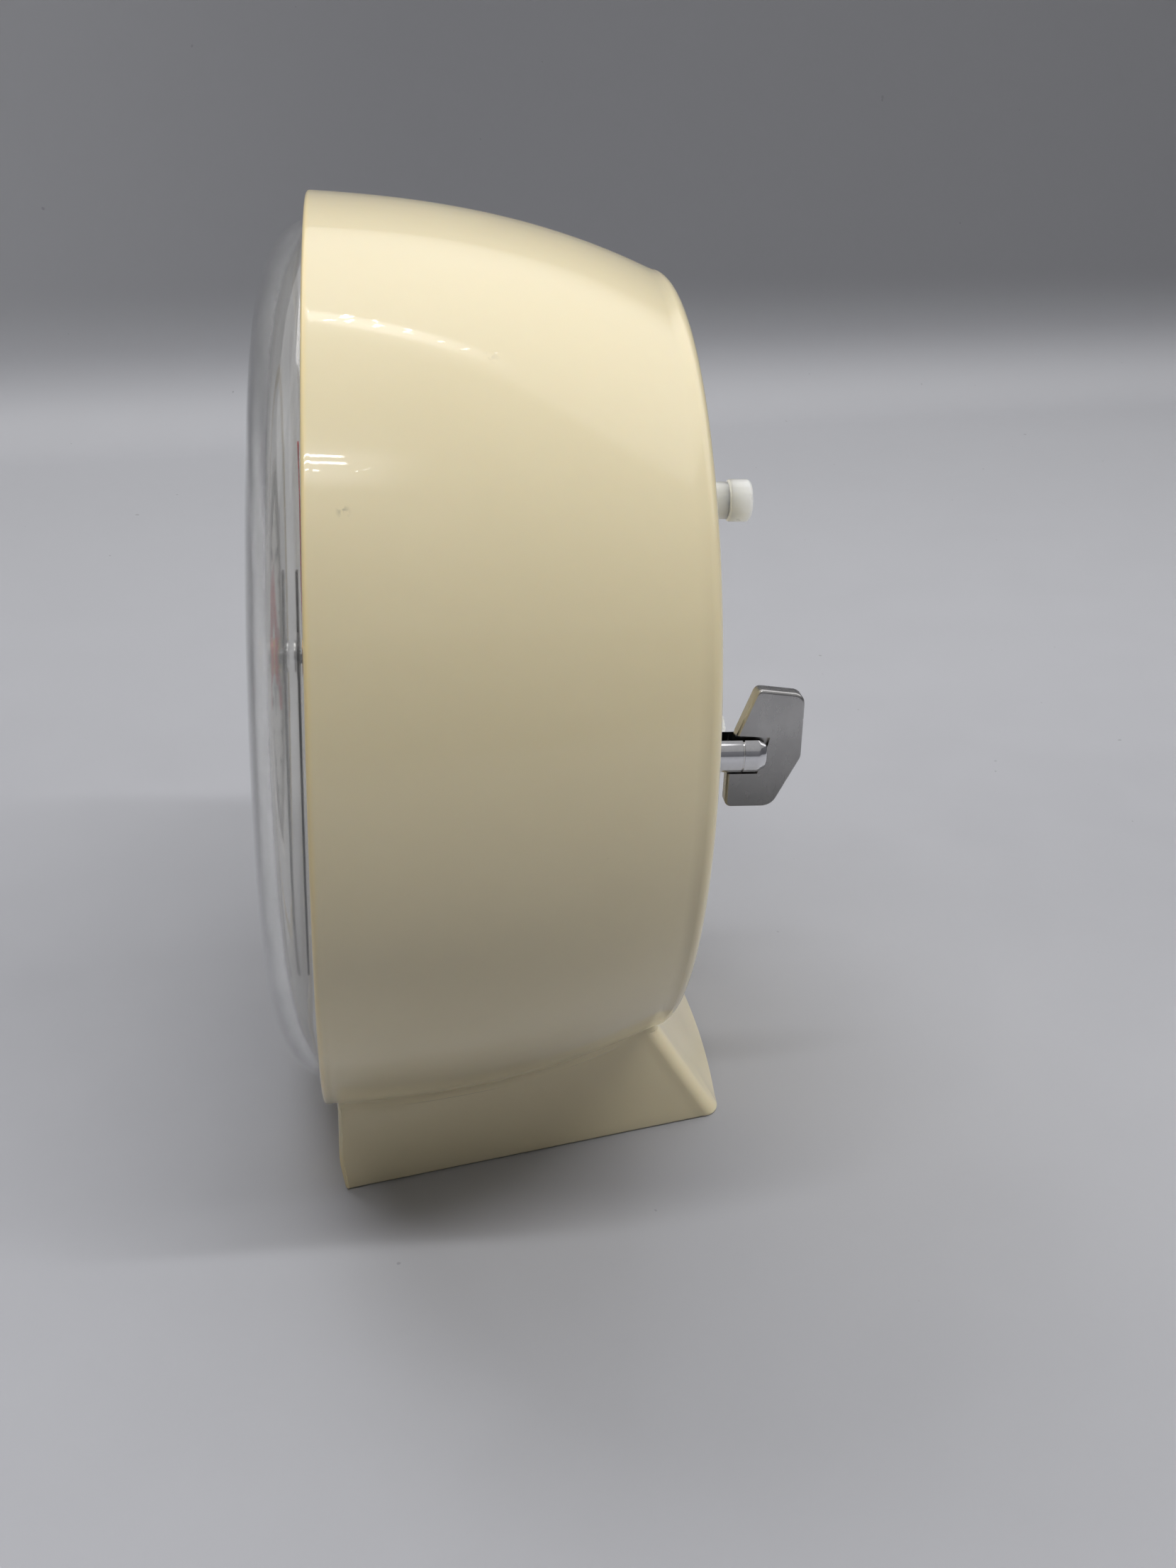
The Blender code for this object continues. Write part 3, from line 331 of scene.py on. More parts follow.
# =============================================================== mesh functions
def piece(name, verts, faces, mat, sharp=35.0):
    """A piece from layout coordinates."""
    me = bpy.data.meshes.new(name)
    me.from_pydata([W(*v) for v in verts], [], faces)
    me.validate()
    bm = bmesh.new()
    bm.from_mesh(me)
    bmesh.ops.remove_doubles(bm, verts=bm.verts, dist=1e-7)
    bmesh.ops.recalc_face_normals(bm, faces=bm.faces)
    bm.to_mesh(me)
    bm.free()
    me.materials.append(mat)
    ob = bpy.data.objects.new(name, me)
    bpy.context.scene.collection.objects.link(ob)
    shade(ob, sharp)
    return ob


def shade(ob, sharp=35.0):
    ob.data.shade_smooth()
    ob.data.set_sharp_from_angle(angle=math.radians(sharp))


def cut(ob, tool, sharp=35.0, op="DIFFERENCE"):
    """Subtract tool from ob for good and remove tool."""
    m = ob.modifiers.new("cut", "BOOLEAN")
    m.operation, m.object, m.solver = op, tool, "EXACT"
    dg = bpy.context.evaluated_depsgraph_get()
    me = bpy.data.meshes.new_from_object(ob.evaluated_get(dg))
    old = ob.data
    ob.modifiers.clear()
    ob.data = me
    mats = [m for m in old.materials]
    bpy.data.meshes.remove(old)
    bpy.data.objects.remove(tool, do_unlink=True)
    while len(ob.data.materials) > 1:
        ob.data.materials.pop()
    for p in ob.data.polygons:
        p.material_index = 0
    if not len(ob.data.materials):
        ob.data.materials.append(mats[0])
    shade(ob, sharp)
    return ob


def fillet(points, closed=False, n=5):
    """Round the corners of a polyline of (x, y, radius) points."""
    out = []
    count = len(points)
    for i, p in enumerate(points):
        x, y = p[0], p[1]
        r = p[2] if len(p) > 2 else 0.0
        if r <= 0 or (not closed and i in (0, count - 1)):
            out.append((x, y))
            continue
        a = Vector(points[i - 1][:2]) - Vector((x, y))
        b = Vector(points[(i + 1) % count][:2]) - Vector((x, y))
        la, lb = a.length, b.length
        a.normalize()
        b.normalize()
        half = a.angle(b) / 2
        d = min(r / max(math.tan(half), 1e-6), 0.49 * la, 0.49 * lb)
        p0, p2, p1 = Vector((x, y)) + a * d, Vector((x, y)) + b * d, Vector((x, y))
        w = math.sin(half)           # rational Bezier, an exact arc
        for k in range(n + 1):
            t = k / n
            q = (p0 * (1 - t) ** 2 + p1 * (2 * w * t * (1 - t)) + p2 * t ** 2) / \
                ((1 - t) ** 2 + 2 * w * t * (1 - t) + t ** 2)
            out.append((q.x, q.y))
    return out


def turned(name, profile, centre, mat, n=96, sharp=35.0, seg=5, wobble=None):
    """Turn (radius, y[, corner radius]) points about Y through centre."""
    prof = fillet(profile, closed=profile[0][0] != 0 or profile[-1][0] != 0, n=seg)
    cx, cz = centre
    solid = prof[0][0] == 0 and prof[-1][0] == 0
    verts, faces, rows = [], [], []
    for r, y in prof:
        if r == 0:
            rows.append([len(verts)])
            verts.append((cx, y, cz))
        else:
            row = []
            for k in range(n):
                a = 2 * math.pi * k / n
                rr = r + (wobble(r, y, a) if wobble else 0.0)
                row.append(len(verts))
                verts.append((cx + rr * math.sin(a), y, cz + rr * math.cos(a)))
            rows.append(row)
    count = len(rows) if not solid else len(rows) - 1
    for i in range(count):
        a, b = rows[i], rows[(i + 1) % len(rows)]
        for k in range(n):
            k2 = (k + 1) % n
            if len(a) == 1 and len(b) == 1:
                continue
            if len(a) == 1:
                faces.append((a[0], b[k], b[k2]))
            elif len(b) == 1:
                faces.append((a[k], b[0], a[k2]))
            else:
                faces.append((a[k], b[k], b[k2], a[k2]))
    return piece(name, verts, faces, mat, sharp)


def circle(cx, cz, r, n, phase=0.0):
    return [(cx + r * math.sin(2 * math.pi * k / n + phase),
             cz + r * math.cos(2 * math.pi * k / n + phase)) for k in range(n)]


def inside(poly, x, z):
    hit = False
    for i in range(len(poly)):
        (x1, z1), (x2, z2) = poly[i], poly[i - 1]
        if (z1 > z) != (z2 > z) and x < (x2 - x1) * (z - z1) / (z2 - z1) + x1:
            hit = not hit
    return hit


def plate(name, outline, holes, low, high, mat, extra=(), sharp=35.0):
    """Plate in X-Z with through holes; low and high give y at a point."""
    pts = [Vector(p) for p in outline]
    loops = [list(range(len(pts)))]
    for h in holes:
        loops.append(list(range(len(pts), len(pts) + len(h))))
        pts += [Vector(p) for p in h]
    pts += [Vector(p) for p in extra]
    edges = []
    for lp in loops:
        edges += [(lp[i], lp[(i + 1) % len(lp)]) for i in range(len(lp))]
    vo, _, fo, _, _, _ = delaunay_2d_cdt(pts, edges, [], 0, 1e-6)
    n = len(vo)
    tri = []
    for f in fo:
        mx = sum(vo[i][0] for i in f) / len(f)
        mz = sum(vo[i][1] for i in f) / len(f)
        if inside(outline, mx, mz) and not any(inside(h, mx, mz) for h in holes):
            tri.append(tuple(f))
    lo = low if callable(low) else (lambda x, z: low)
    hi = high if callable(high) else (lambda x, z: high)
    verts = [(v[0], lo(v[0], v[1]), v[1]) for v in vo] + [(v[0], hi(v[0], v[1]), v[1]) for v in vo]
    faces = list(tri) + [tuple(i + n for i in reversed(f)) for f in tri]
    seen = {}
    for f in tri:
        for i in range(len(f)):
            seen[(f[i], f[(i + 1) % len(f)])] = True
    for (a, b) in seen:
        if (b, a) not in seen:
            faces.append((b, a, a + n, b + n))
    return piece(name, verts, faces, mat, sharp)


def offset(poly, d):
    """Inset a dense closed outline by d along its inward normals."""
    n = len(poly)
    area = sum(poly[i - 1][0] * poly[i][1] - poly[i][0] * poly[i - 1][1] for i in range(n))
    s = 1.0 if area > 0 else -1.0
    out = []
    for i in range(n):
        (x0, y0), (x2, y2) = poly[i - 1], poly[(i + 1) % n]
        tx, ty = x2 - x0, y2 - y0
        l = math.hypot(tx, ty) or 1.0
        out.append((poly[i][0] - s * ty / l * d, poly[i][1] + s * tx / l * d))
    return out


def bevelled(name, outline, t0, t1, radius, mat, axis="Y", steps=4, sharp=35.0):
    """Solid from a dense outline with rounded rims on both faces. axis Y puts
    the outline in X-Z, axis X puts it in Y-Z."""
    rings = []
    for k in range(steps + 1):
        a = math.pi / 2 * k / steps
        rings.append((offset(outline, radius * (1 - math.sin(a))), t0 + radius * (1 - math.cos(a))))
    for k in range(steps + 1):
        a = math.pi / 2 * (1 - k / steps)
        rings.append((offset(outline, radius * (1 - math.sin(a))), t1 - radius * (1 - math.cos(a))))
    verts, faces = [], []
    n = len(outline)
    for pts, t in rings:
        for p in pts:
            verts.append((p[0], t, p[1]) if axis == "Y" else (t, p[0], p[1]))
    for i in range(len(rings) - 1):
        for k in range(n):
            k2 = (k + 1) % n
            faces.append((i * n + k, i * n + k2, (i + 1) * n + k2, (i + 1) * n + k))
    faces.append(tuple(range(n)))
    faces.append(tuple(reversed(range((len(rings) - 1) * n, len(rings) * n))))
    return piece(name, verts, faces, mat, sharp)


def prism(outline, t0, t1, axis="X"):
    n = len(outline)
    verts = [((t, p[0], p[1]) if axis == "X" else (p[0], t, p[1])) for t in (t0, t1) for p in outline]
    faces = [tuple(range(n)), tuple(reversed(range(n, 2 * n)))]
    for k in range(n):
        faces.append((k, (k + 1) % n, n + (k + 1) % n, n + k))
    return piece("tool", verts, faces, STEEL)


def stands_for(ob, body, slot, *nodes):
    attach(ob, body)
    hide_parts(*nodes)
    return ob


# ======================================================================= case
def drum_r(y):
    t = y / CASE_END
    return RIM_R - 1.35 * t - 3.9 * t ** 2 - 3.75 * t ** 3


def foot_x(y):
    return 32.9 - 0.249 * y


def y_front(z):
    return 2.3 * min(max((-46.0 - z) / 15.0, 0.0), 1.0)


def y_back(z, x=30.0):
    bow = max(1.0 - (x / 20.5) ** 2, 0.0)
    return CASE_END + (0.620 + 0.045 * bow) * max(-44.6 - z, 0.0)


FILLET = 2.6
NA, NF, NW, NC, NB = 150, 12, 10, 5, 12
NCOL = NA + NF + NW + NC + NB + 1
CORNER = 0.45
T_F = math.atan2(foot_x(20.0) + FILLET,
                 -math.sqrt((drum_r(20.0) + FILLET) ** 2 - (foot_x(20.0) + FILLET) ** 2))


def column_angle(k):
    if k <= NA:
        return T_F * k / NA
    return T_F + (math.pi - T_F) * (k - NA) / (NCOL - 1 - NA)


def outline_half(y):
    r, xw, f = drum_r(y), foot_x(y), FILLET
    xc = xw + f
    zc = -math.sqrt(max((r + f) ** 2 - xc ** 2, 1.0))
    tf = math.atan2(xc, zc)
    pts = [(r * math.sin(tf * k / NA), r * math.cos(tf * k / NA)) for k in range(NA + 1)]
    a0 = math.atan2(pts[-1][1] - zc, pts[-1][0] - xc)
    if a0 < 0:
        a0 += 2 * math.pi
    for k in range(1, NF + 1):
        a = a0 + (math.pi - a0) * k / NF
        pts.append((xc + f * math.cos(a), zc + f * math.sin(a)))
    zt, zb = pts[-1][1], FOOT_Z + CORNER
    for k in range(1, NW + 1):
        pts.append((xw, zt + (zb - zt) * k / NW))
    for k in range(1, NC + 1):
        a = math.pi / 2 * k / NC
        pts.append((xw - CORNER * (1 - math.cos(a)), zb - CORNER * math.sin(a)))
    x0 = pts[-1][0]
    for k in range(1, NB + 1):
        pts.append((x0 * (1 - k / NB), FOOT_Z))
    return pts


def build_case():
    rows = []

    def ring(r, y):
        rows.append([(r * math.sin(column_angle(k)), y, r * math.cos(column_angle(k)))
                     for k in range(NCOL)])

    for a in (0, 30, 60, 90):
        s_, c_ = math.sin(math.radians(a)), math.cos(math.radians(a))
        ring(SEAT_R + 0.25 * (1 - c_), 0.25 * (1 - s_))
    ring(56.0, 0.0)
    lip = 0.42
    for a in (0, 15, 30, 45, 60, 75, 90):
        s_, c_ = math.sin(math.radians(a)), math.cos(math.radians(a))
        ring(RIM_R - 0.01 - lip * (1 - s_), lip * (1 - c_))
    row = []
    for k in range(NCOL):
        a = column_angle(k)
        z = (RIM_R + 0.02) * math.cos(a)
        if k <= NA:
            row.append((drum_r(0.9) * math.sin(a), 0.9, drum_r(0.9) * math.cos(a)))
        else:
            row.append(((RIM_R + 0.02) * math.sin(a), max(0.9, y_front(z)), z))
    rows.append(row)
    base = rows[-1]
    y_start, rho_f = 1.6, 0.42

    def blend_w(k):
        return min(max((k - NA) / float(NF), 0.0), 1.0)

    def placed(frac, alpha=0.0, beta=None):
        out = []
        y_nom = y_start + frac * (CASE_END - 1.8 - y_start)
        for k, (x, z) in enumerate(outline_half(y_nom)):
            yf = max(y_start, y_front(z)) if z < -46 else y_start
            yb = y_back(z, x)
            w = blend_w(k)
            rho = 1.8 * (1 - w) + 2.5 * w
            y = yf + frac * (yb - rho - yf) + rho * math.sin(alpha)
            inset = rho * (1 - math.cos(alpha))
            lift = 0.45 * (1 - math.cos(alpha)) ** 2
            if beta is not None:
                y = yf + rho_f * w * (1 - math.cos(beta))
                inset = rho_f * w * (1 - math.sin(beta))
                lift = rho_f * (1 - math.sin(beta))
            if k >= NA + NF:
                xw = foot_x(yf + frac * (yb - rho - yf))
                x = x / foot_x(y_nom) * (xw - inset)
                if z < FOOT_Z + 3.0:
                    z = z + lift * (1 - (z - FOOT_Z) / 3.0)
            else:
                r = math.hypot(x, z)
                x, z = x * (r - inset) / r, z * (r - inset * (1 - w)) / r
            out.append((x, y, z))
        return out

    start = placed(0.0, beta=0.0)
    for t in (0.15, 0.4, 0.7, 1.0):
        rows.append([tuple(b * (1 - t) + s_ * t for b, s_ in zip(base[k], start[k]))
                     for k in range(NCOL)])
    for b in (18, 36, 54, 72, 90):
        rows.append(placed(0.0, beta=math.radians(b)))
    ns = 34
    for i in range(ns + 1):
        f = 0.011 + (1 - 0.011) * i / ns
        rows.append(placed(f))
    for q in range(1, 9):
        rows.append(placed(1.0, q / 8 * math.pi / 2))
    last = rows[-1]
    for t in (0.12, 0.3, 0.5, 0.7, 0.88):
        row = []
        for k in range(NCOL):
            a = column_angle(k)
            tx, tz = (OPENING_R + 0.35) * math.sin(a), (OPENING_R + 0.35) * math.cos(a)
            x, z = last[k][0] * (1 - t) + tx * t, last[k][2] * (1 - t) + tz * t
            row.append((x, y_back(z, x), z))
        rows.append(row)
    for a in (0, 30, 60, 90):
        s_, c_ = math.sin(math.radians(a)), math.cos(math.radians(a))
        ring(OPENING_R + 0.3 * (1 - s_), CASE_END - 0.3 * (1 - c_))
    ring(OPENING_R, 42.2)
    ring(LEDGE_R, 42.2)
    ring(LEDGE_R, 40.4)
    ring(drum_r(40.4) - WALL, 40.4)
    for y in (35.0, 30.0, 25.0, 20.0, 15.0, 10.0, 6.0, 3.0):
        ring(drum_r(y) - WALL, y)
    ring(SEAT_R, 3.0)
    verts, faces, idx = [], [], []
    for row in rows:
        full = list(row) + [(-x, y, z) for (x, y, z) in reversed(row[1:-1])]
        idx.append(list(range(len(verts), len(verts) + len(full))))
        verts += full
    m = len(idx[0])
    for i in range(len(idx)):
        a, b = idx[i], idx[(i + 1) % len(idx)]
        for k in range(m):
            k2 = (k + 1) % m
            faces.append((a[k], a[k2], b[k2], b[k]))
    return piece("drum_and_foot", verts, faces, CREAM, sharp=26.0)


def hollow_tool():
    """Space under the foot, roofed by the drum's wall."""
    nx, ny = 24, 16
    verts, faces, top, bot = [], [], [], []
    y0 = 5.2
    for j in range(ny + 1):
        t = j / ny
        rt, rb = [], []
        for i in range(nx + 1):
            u = -1 + 2 * i / nx
            y_top = y0 + (41.4 - y0) * t
            xx = u * (foot_x(y_top) - 3.0)
            rt.append(len(verts))
            verts.append((xx, y_top, -math.sqrt((drum_r(y_top) + 0.25) ** 2 - xx ** 2)))
        for i in range(nx + 1):
            u = -1 + 2 * i / nx
            y_bot = y0 + (49.2 - y0) * t
            rb.append(len(verts))
            verts.append((u * (foot_x(y_bot) - 3.0), y_bot, -63.0))
        top.append(rt)
        bot.append(rb)
    for j in range(ny):
        for i in range(nx):
            faces.append((top[j][i], top[j][i + 1], top[j + 1][i + 1], top[j + 1][i]))
            faces.append((bot[j][i], bot[j + 1][i], bot[j + 1][i + 1], bot[j][i + 1]))
        faces.append((top[j][0], top[j + 1][0], bot[j + 1][0], bot[j][0]))
        faces.append((top[j][nx], bot[j][nx], bot[j + 1][nx], top[j + 1][nx]))
    for i in range(nx):
        faces.append((top[0][i], bot[0][i], bot[0][i + 1], top[0][i + 1]))
        faces.append((top[ny][i], top[ny][i + 1], bot[ny][i + 1], bot[ny][i]))
    return piece("tool", verts, faces, CREAM)


case = build_case()
cut(case, hollow_tool(), 26.0)
stands_for(case, "case", "case", "case_shell")


# ============================================================== lens and dial
def dome(r, radius, height, n, e):
    return -height * max(1 - (r / radius) ** n, 0.0) ** e


prof = [(0.0, -6.8)]
for r in [6, 12, 18, 24, 30, 35, 39, 42, 44, 45.5, 46.8, 48, 49, 49.9, 50.7, 51.4, 52, 52.5, 52.9,
          53.25, 53.5, 53.72, 53.88, 54.0, 54.08, 54.14, 54.18]:
    prof.append((r, dome(r, 54.2, 6.8, 10.8, 0.69)))
prof += [(54.2, -0.06), (54.2, 2.08, 0.12), (54.08, 2.2), (52.42, 2.2), (52.3, 2.1)]
prof += [(52.3, 0.2)]
for r in [52.28, 52.22, 52.1, 51.9, 51.6, 51.2, 50.7, 50.0, 49.2, 48.2, 47.0, 45.5, 43.5, 41, 38, 34,
          28, 21, 14, 7]:
    prof.append((r, dome(r, 52.3, 5.2, 10.0, 0.70)))
prof.append((0.0, -5.2))
lens = turned("domed_lens", prof, (0, 0), LENS, 224, sharp=48)
stands_for(lens, "case", "lens", "lens")

ring = turned("bright_dial_ring", [(51.95, 0.25, 0.1), (51.95, 2.2, 0.1), (48.55, 2.2, 0.1),
                                   (48.55, 1.75, 0.15), (49.0, 1.5, 0.3)], (0, 0), RING, 192)
stands_for(ring, "case", "ring", "dial_ring")

dial = plate("dial_face", circle(0, 0, 54.15, 160), [circle(0, 0, 3.25, 48)], 2.62, 3.4, DIAL,
             extra=[p for r, n in ((12, 24), (24, 40), (36, 60), (48, 80)) for p in circle(0, 0, r, n)])
stands_for(dial, "case", "dial", "dial_plate")

FACE_Y = 2.62


def joined(name, parts, mat):
    bm = bmesh.new()
    for me in parts:
        bm.from_mesh(me)
        bpy.data.meshes.remove(me)
    me = bpy.data.meshes.new(name)
    bm.to_mesh(me)
    bm.free()
    me.materials.clear()
    me.materials.append(mat)
    ob = bpy.data.objects.new(name, me)
    bpy.context.scene.collection.objects.link(ob)
    shade(ob, 40)
    return ob


def numeral(text, x, z, size):
    cu = bpy.data.curves.new("numeral", "FONT")
    cu.body = text
    cu.size = size / 1000.0
    cu.align_x, cu.align_y = "CENTER", "CENTER"
    cu.extrude = 0.00003
    cu.resolution_u = 6
    cu.space_character = 0.96
    ob = bpy.data.objects.new("numeral", cu)
    bpy.context.scene.collection.objects.link(ob)
    ob.matrix_world = Matrix.Translation(W(x, FACE_Y - 0.035, z)) @ Matrix.Rotation(math.pi / 2, 4, "X")
    bpy.context.view_layer.update()
    dg = bpy.context.evaluated_depsgraph_get()
    me = bpy.data.meshes.new_from_object(ob.evaluated_get(dg))
    me.transform(ob.matrix_world)
    bpy.data.objects.remove(ob, do_unlink=True)
    bpy.data.curves.remove(cu)
    return me


parts = []
for k in range(12):
    a = 2 * math.pi * k / 12
    parts.append(numeral(str(5 * k), 34.6 * math.sin(a), 34.6 * math.cos(a) - 0.1, 8.6))
numerals = joined("dial_numerals", parts, PRINT)
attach(numerals, "case")

verts, faces = [], []
for k in range(60):
    a = 2 * math.pi * k / 60
    major = k % 5 == 0
    r0, r1, w = (41.6, 46.6, 0.62) if major else (44.0, 46.6, 0.2)
    s_, c_ = math.sin(a), math.cos(a)
    b = len(verts)
    for y in (FACE_Y - 0.07, FACE_Y - 0.005):
        for rr, ww in ((r0, -w), (r1, -w), (r1, w), (r0, w)):
            verts.append((rr * s_ + ww * c_, y, rr * c_ - ww * s_))
    faces += [(b, b + 1, b + 2, b + 3), (b + 7, b + 6, b + 5, b + 4)]
    for i in range(4):
        j = (i + 1) % 4
        faces.append((b + i, b + 4 + i, b + 4 + j, b + j))
marks = piece("minute_marks", verts, faces, PRINT)
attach(marks, "case")
# a thin printed circle inside the marks
track = turned("minute_track", [(46.9, FACE_Y - 0.07), (47.25, FACE_Y - 0.07), (47.25, FACE_Y - 0.01),
                                (46.9, FACE_Y - 0.01)], (0, 0), PRINT, 192)
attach(track, "case")


def pointer(name, y0, y1, length, tail, half_w, hub, angle, mat, tip=0.3):
    """Tapered hand with a round hub and a small chamfer round its front face."""
    a = math.radians(angle)
    s_, c_ = math.sin(a), math.cos(a)
    b = math.asin(half_w / hub)
    outline = [(-half_w * 0.9, -tail), (0.0, -tail - 0.25), (half_w * 0.9, -tail)]
    for k in range(19):
        t = -(math.pi / 2 - b) + (math.pi - 2 * b) * k / 18
        outline.append((hub * math.cos(t), hub * math.sin(t)))
    outline += [(half_w * 0.9, length * 0.35), (half_w * 0.66, length * 0.7), (tip, length - 0.3),
                (0.0, length)]
    n = len(outline)
    mirror = [(-x, z) for x, z in reversed(outline[3:-1])]
    full = outline + mirror
    verts, faces = [], []
    rise = 0.12
    inner = offset(full, 0.12)
    for pts, y in ((full, y1), (full, y0 + 0.08), (inner, y0 + 0.02)):
        for x, z in pts:
            verts.append((x * c_ + z * s_, y, -x * s_ + z * c_))
    m = len(full)
    for i in range(2):
        for k in range(m):
            k2 = (k + 1) % m
            faces.append((i * m + k, i * m + k2, (i + 1) * m + k2, (i + 1) * m + k))
    faces.append(tuple(range(m)))
    faces.append(tuple(reversed(range(2 * m, 3 * m))))
    return piece(name, verts, faces, mat, 30)


timer_hand = pointer("black_pointer", -3.9, -3.4, 43.0, 11.0, 1.5, 3.6, 164.0, BLACK)
cut(timer_hand, prism(circle(0, 0, 1.2, 40), -5.5, -2.8, "Y"), 30)
stands_for(timer_hand, "centre", "hand_black", "timer_hand")
set_hand = pointer("red_pointer", -2.2, -1.7, 31.0, 8.0, 1.0, 3.8, 14.0, RED)
cut(set_hand, prism(circle(0, 0, 2.7, 48), -3.2, -1.0, "Y"), 30)
stands_for(set_hand, "set_hand", "hand_red", "set_hand")
cap = turned("pointer_cap", [(0, -4.76), (1.2, -4.72, 0.3), (2.1, -4.5, 0.12), (2.1, -4.2, 0.06),
                             (0, -4.2)], (0, 0), CHROME, 64)
stands_for(cap, "centre", "steel", "hand_cap")

# ================================================================== back cover
SLOTS = []
for k in range(4):
    xs = -28.5 + 5.0 * k
    SLOTS.append([(xs + 0.9 * math.cos(t), 16.9 + 0.9 * math.sin(t))
                  for t in [math.pi * i / 10 for i in range(11)]] +
                 [(xs + 0.9 * math.cos(t), 6.9 + 0.9 * math.sin(t))
                  for t in [math.pi + math.pi * i / 10 for i in range(11)]])


def smooth(a, b, v):
    t = min(max((v - a) / (b - a), 0.0), 1.0)
    return t * t * (3 - 2 * t)


def cover_top(x, z):
    r = math.hypot(x, z)
    h = 3.0 * max(1 - (r / 44.4) ** 2, 0.0)
    d = math.hypot(x - KEY_X, z - KEY_Z)
    h += 2.4 * smooth(7.4, 5.0, d)
    d = math.hypot(x - STOP_X, z - STOP_Z)
    h += 1.2 * smooth(5.3, 3.9, d)
    d = min(math.hypot(x - px, z - pz) for px, pz in POSTS)
    w = smooth(3.75, 3.05, d)
    return h * (1 - w) + PAD * w


HOLES = [(KEY_X, KEY_Z, 3.1), (STOP_X, STOP_Z, 2.7), (SET_X, SET_Z, 1.7)] + \
        [(x, z, 1.6) for x, z in POSTS]


def edge_drop(x, z, rho=0.35):
    """How far a rounded rim falls below the face, from the nearest edge."""
    d = 44.4 - math.hypot(x, z)
    for hx, hz, hr in HOLES:
        d = min(d, math.hypot(x - hx, z - hz) - hr)
    for k in range(4):
        xs = -28.5 + 5.0 * k
        zz = min(max(z, 6.9), 16.9)
        d = min(d, math.hypot(x - xs, z - zz) - 0.9)
    d = min(max(d, 0.0), rho)
    return rho - math.sqrt(max(rho ** 2 - (rho - d) ** 2, 0.0))


extra = []
for d in (0.05, 0.12, 0.22, 0.36):
    extra += circle(0, 0, 44.4 - d, 180)
    for hx, hz, hr in HOLES:
        extra += circle(hx, hz, hr + d, 48)
    for k in range(4):
        xs = -28.5 + 5.0 * k
        w = 0.9 + d
        extra += [(xs + w * math.cos(t), 16.9 + w * math.sin(t)) for t in
                  [math.pi * i / 10 for i in range(11)]]
        extra += [(xs + w * math.cos(t), 6.9 + w * math.sin(t)) for t in
                  [math.pi + math.pi * i / 10 for i in range(11)]]
        extra += [(xs + sx * w, 8.4 + 1.4 * i) for i in range(6) for sx in (-1, 1)]
for r in np.arange(2.0, 43.6, 1.25):
    n = max(8, int(2 * math.pi * r / 1.6))
    for p in circle(0, 0, float(r), n, 0.37 * float(r)):
        ok = all(math.hypot(p[0] - hx, p[1] - hz) > hr + 0.6 for hx, hz, hr in HOLES)
        ok = ok and math.hypot(p[0] - KEY_X, p[1] - KEY_Z) > 8.0
        ok = ok and math.hypot(p[0] - STOP_X, p[1] - STOP_Z) > 5.7
        ok = ok and all(math.hypot(p[0] - hx, p[1] - hz) > 4.9 for hx, hz in POSTS)
        if ok and not (-30.6 < p[0] < -11.4 and 5.0 < p[1] < 18.8):
            extra.append(p)
for r in (3.9, 4.4, 4.8, 5.1, 5.4, 5.8, 6.2, 6.6, 7.0, 7.4, 7.7):
    extra += circle(KEY_X, KEY_Z, r, 64)
for r in (3.4, 3.7, 3.95, 4.2, 4.5, 4.8, 5.1, 5.4):
    extra += circle(STOP_X, STOP_Z, r, 48)
for px, pz in POSTS:
    for r in (2.5, 2.95, 3.1, 3.2, 3.3, 3.4, 3.5, 3.6, 3.7, 3.8, 4.1):
        extra += circle(px, pz, r, 40)
cover = plate("rear_cover_moulding", circle(0, 0, 44.4, 240),
              [circle(hx, hz, hr, 48) for hx, hz, hr in HOLES] + SLOTS,
              lambda x, z: 42.6 + cover_top(x, z) * 0.985,
              lambda x, z: 44.2 + cover_top(x, z) - edge_drop(x, z), COVER, extra, sharp=32)
stands_for(cover, "case", "case", "back_cover")

for i, (x, z) in enumerate(POSTS, 1):
    y = 44.2 + PAD + 0.3
    head = turned("pan_screw_%d" % i, [(0, 36.4), (1.0, 36.4, 0.2), (1.2, 36.9), (1.2, y - 0.02),
                                       (2.6, y - 0.02, 0.1), (2.6, y + 0.6, 0.5), (1.3, y + 1.28, 0.8),
                                       (0, y + 1.3)], (x, z), STEEL, 64)
    a = 0.4 + 1.1 * i
    c_, s_ = math.cos(a), math.sin(a)
    slot_pts = [(x + u * c_ - v * s_, z + u * s_ + v * c_) for u, v in
                ((-3.2, -0.28), (3.2, -0.28), (3.2, 0.28), (-3.2, 0.28))]
    cut(head, prism(slot_pts, y + 0.75, y + 3.0, "Y"), 30)
    stands_for(head, "case", "steel", "cover_screw_%d" % i)

# ======================================================== stop and set knobs
stem = turned("stop_collar", [(0, 27.0), (1.2, 27.0, 0.2), (1.2, 42.0), (2.4, 42.0, 0.15),
                              (2.4, 52.58, 0.05), (1.5, 52.62), (0, 52.62)], (STOP_X, STOP_Z),
              NYLON, 80)
stands_for(stem, "stop_knob", "nylon", "stop_stem")
knob = turned("stop_button", [(0, 52.7), (2.66, 52.7, 0.1), (2.73, 52.9, 0.1), (2.73, 55.2, 0.2),
                              (2.45, 55.58, 0.25), (1.4, 55.58, 0.3), (1.1, 55.42, 0.3), (0, 55.42)],
              (STOP_X, STOP_Z), NYLON, 96)
stands_for(knob, "stop_knob", "nylon", "stop_knob")


def flutes(r, y, a):
    if r < 4.1:
        return 0.0
    return -0.2 * (0.5 - 0.5 * math.cos(20 * a)) ** 2


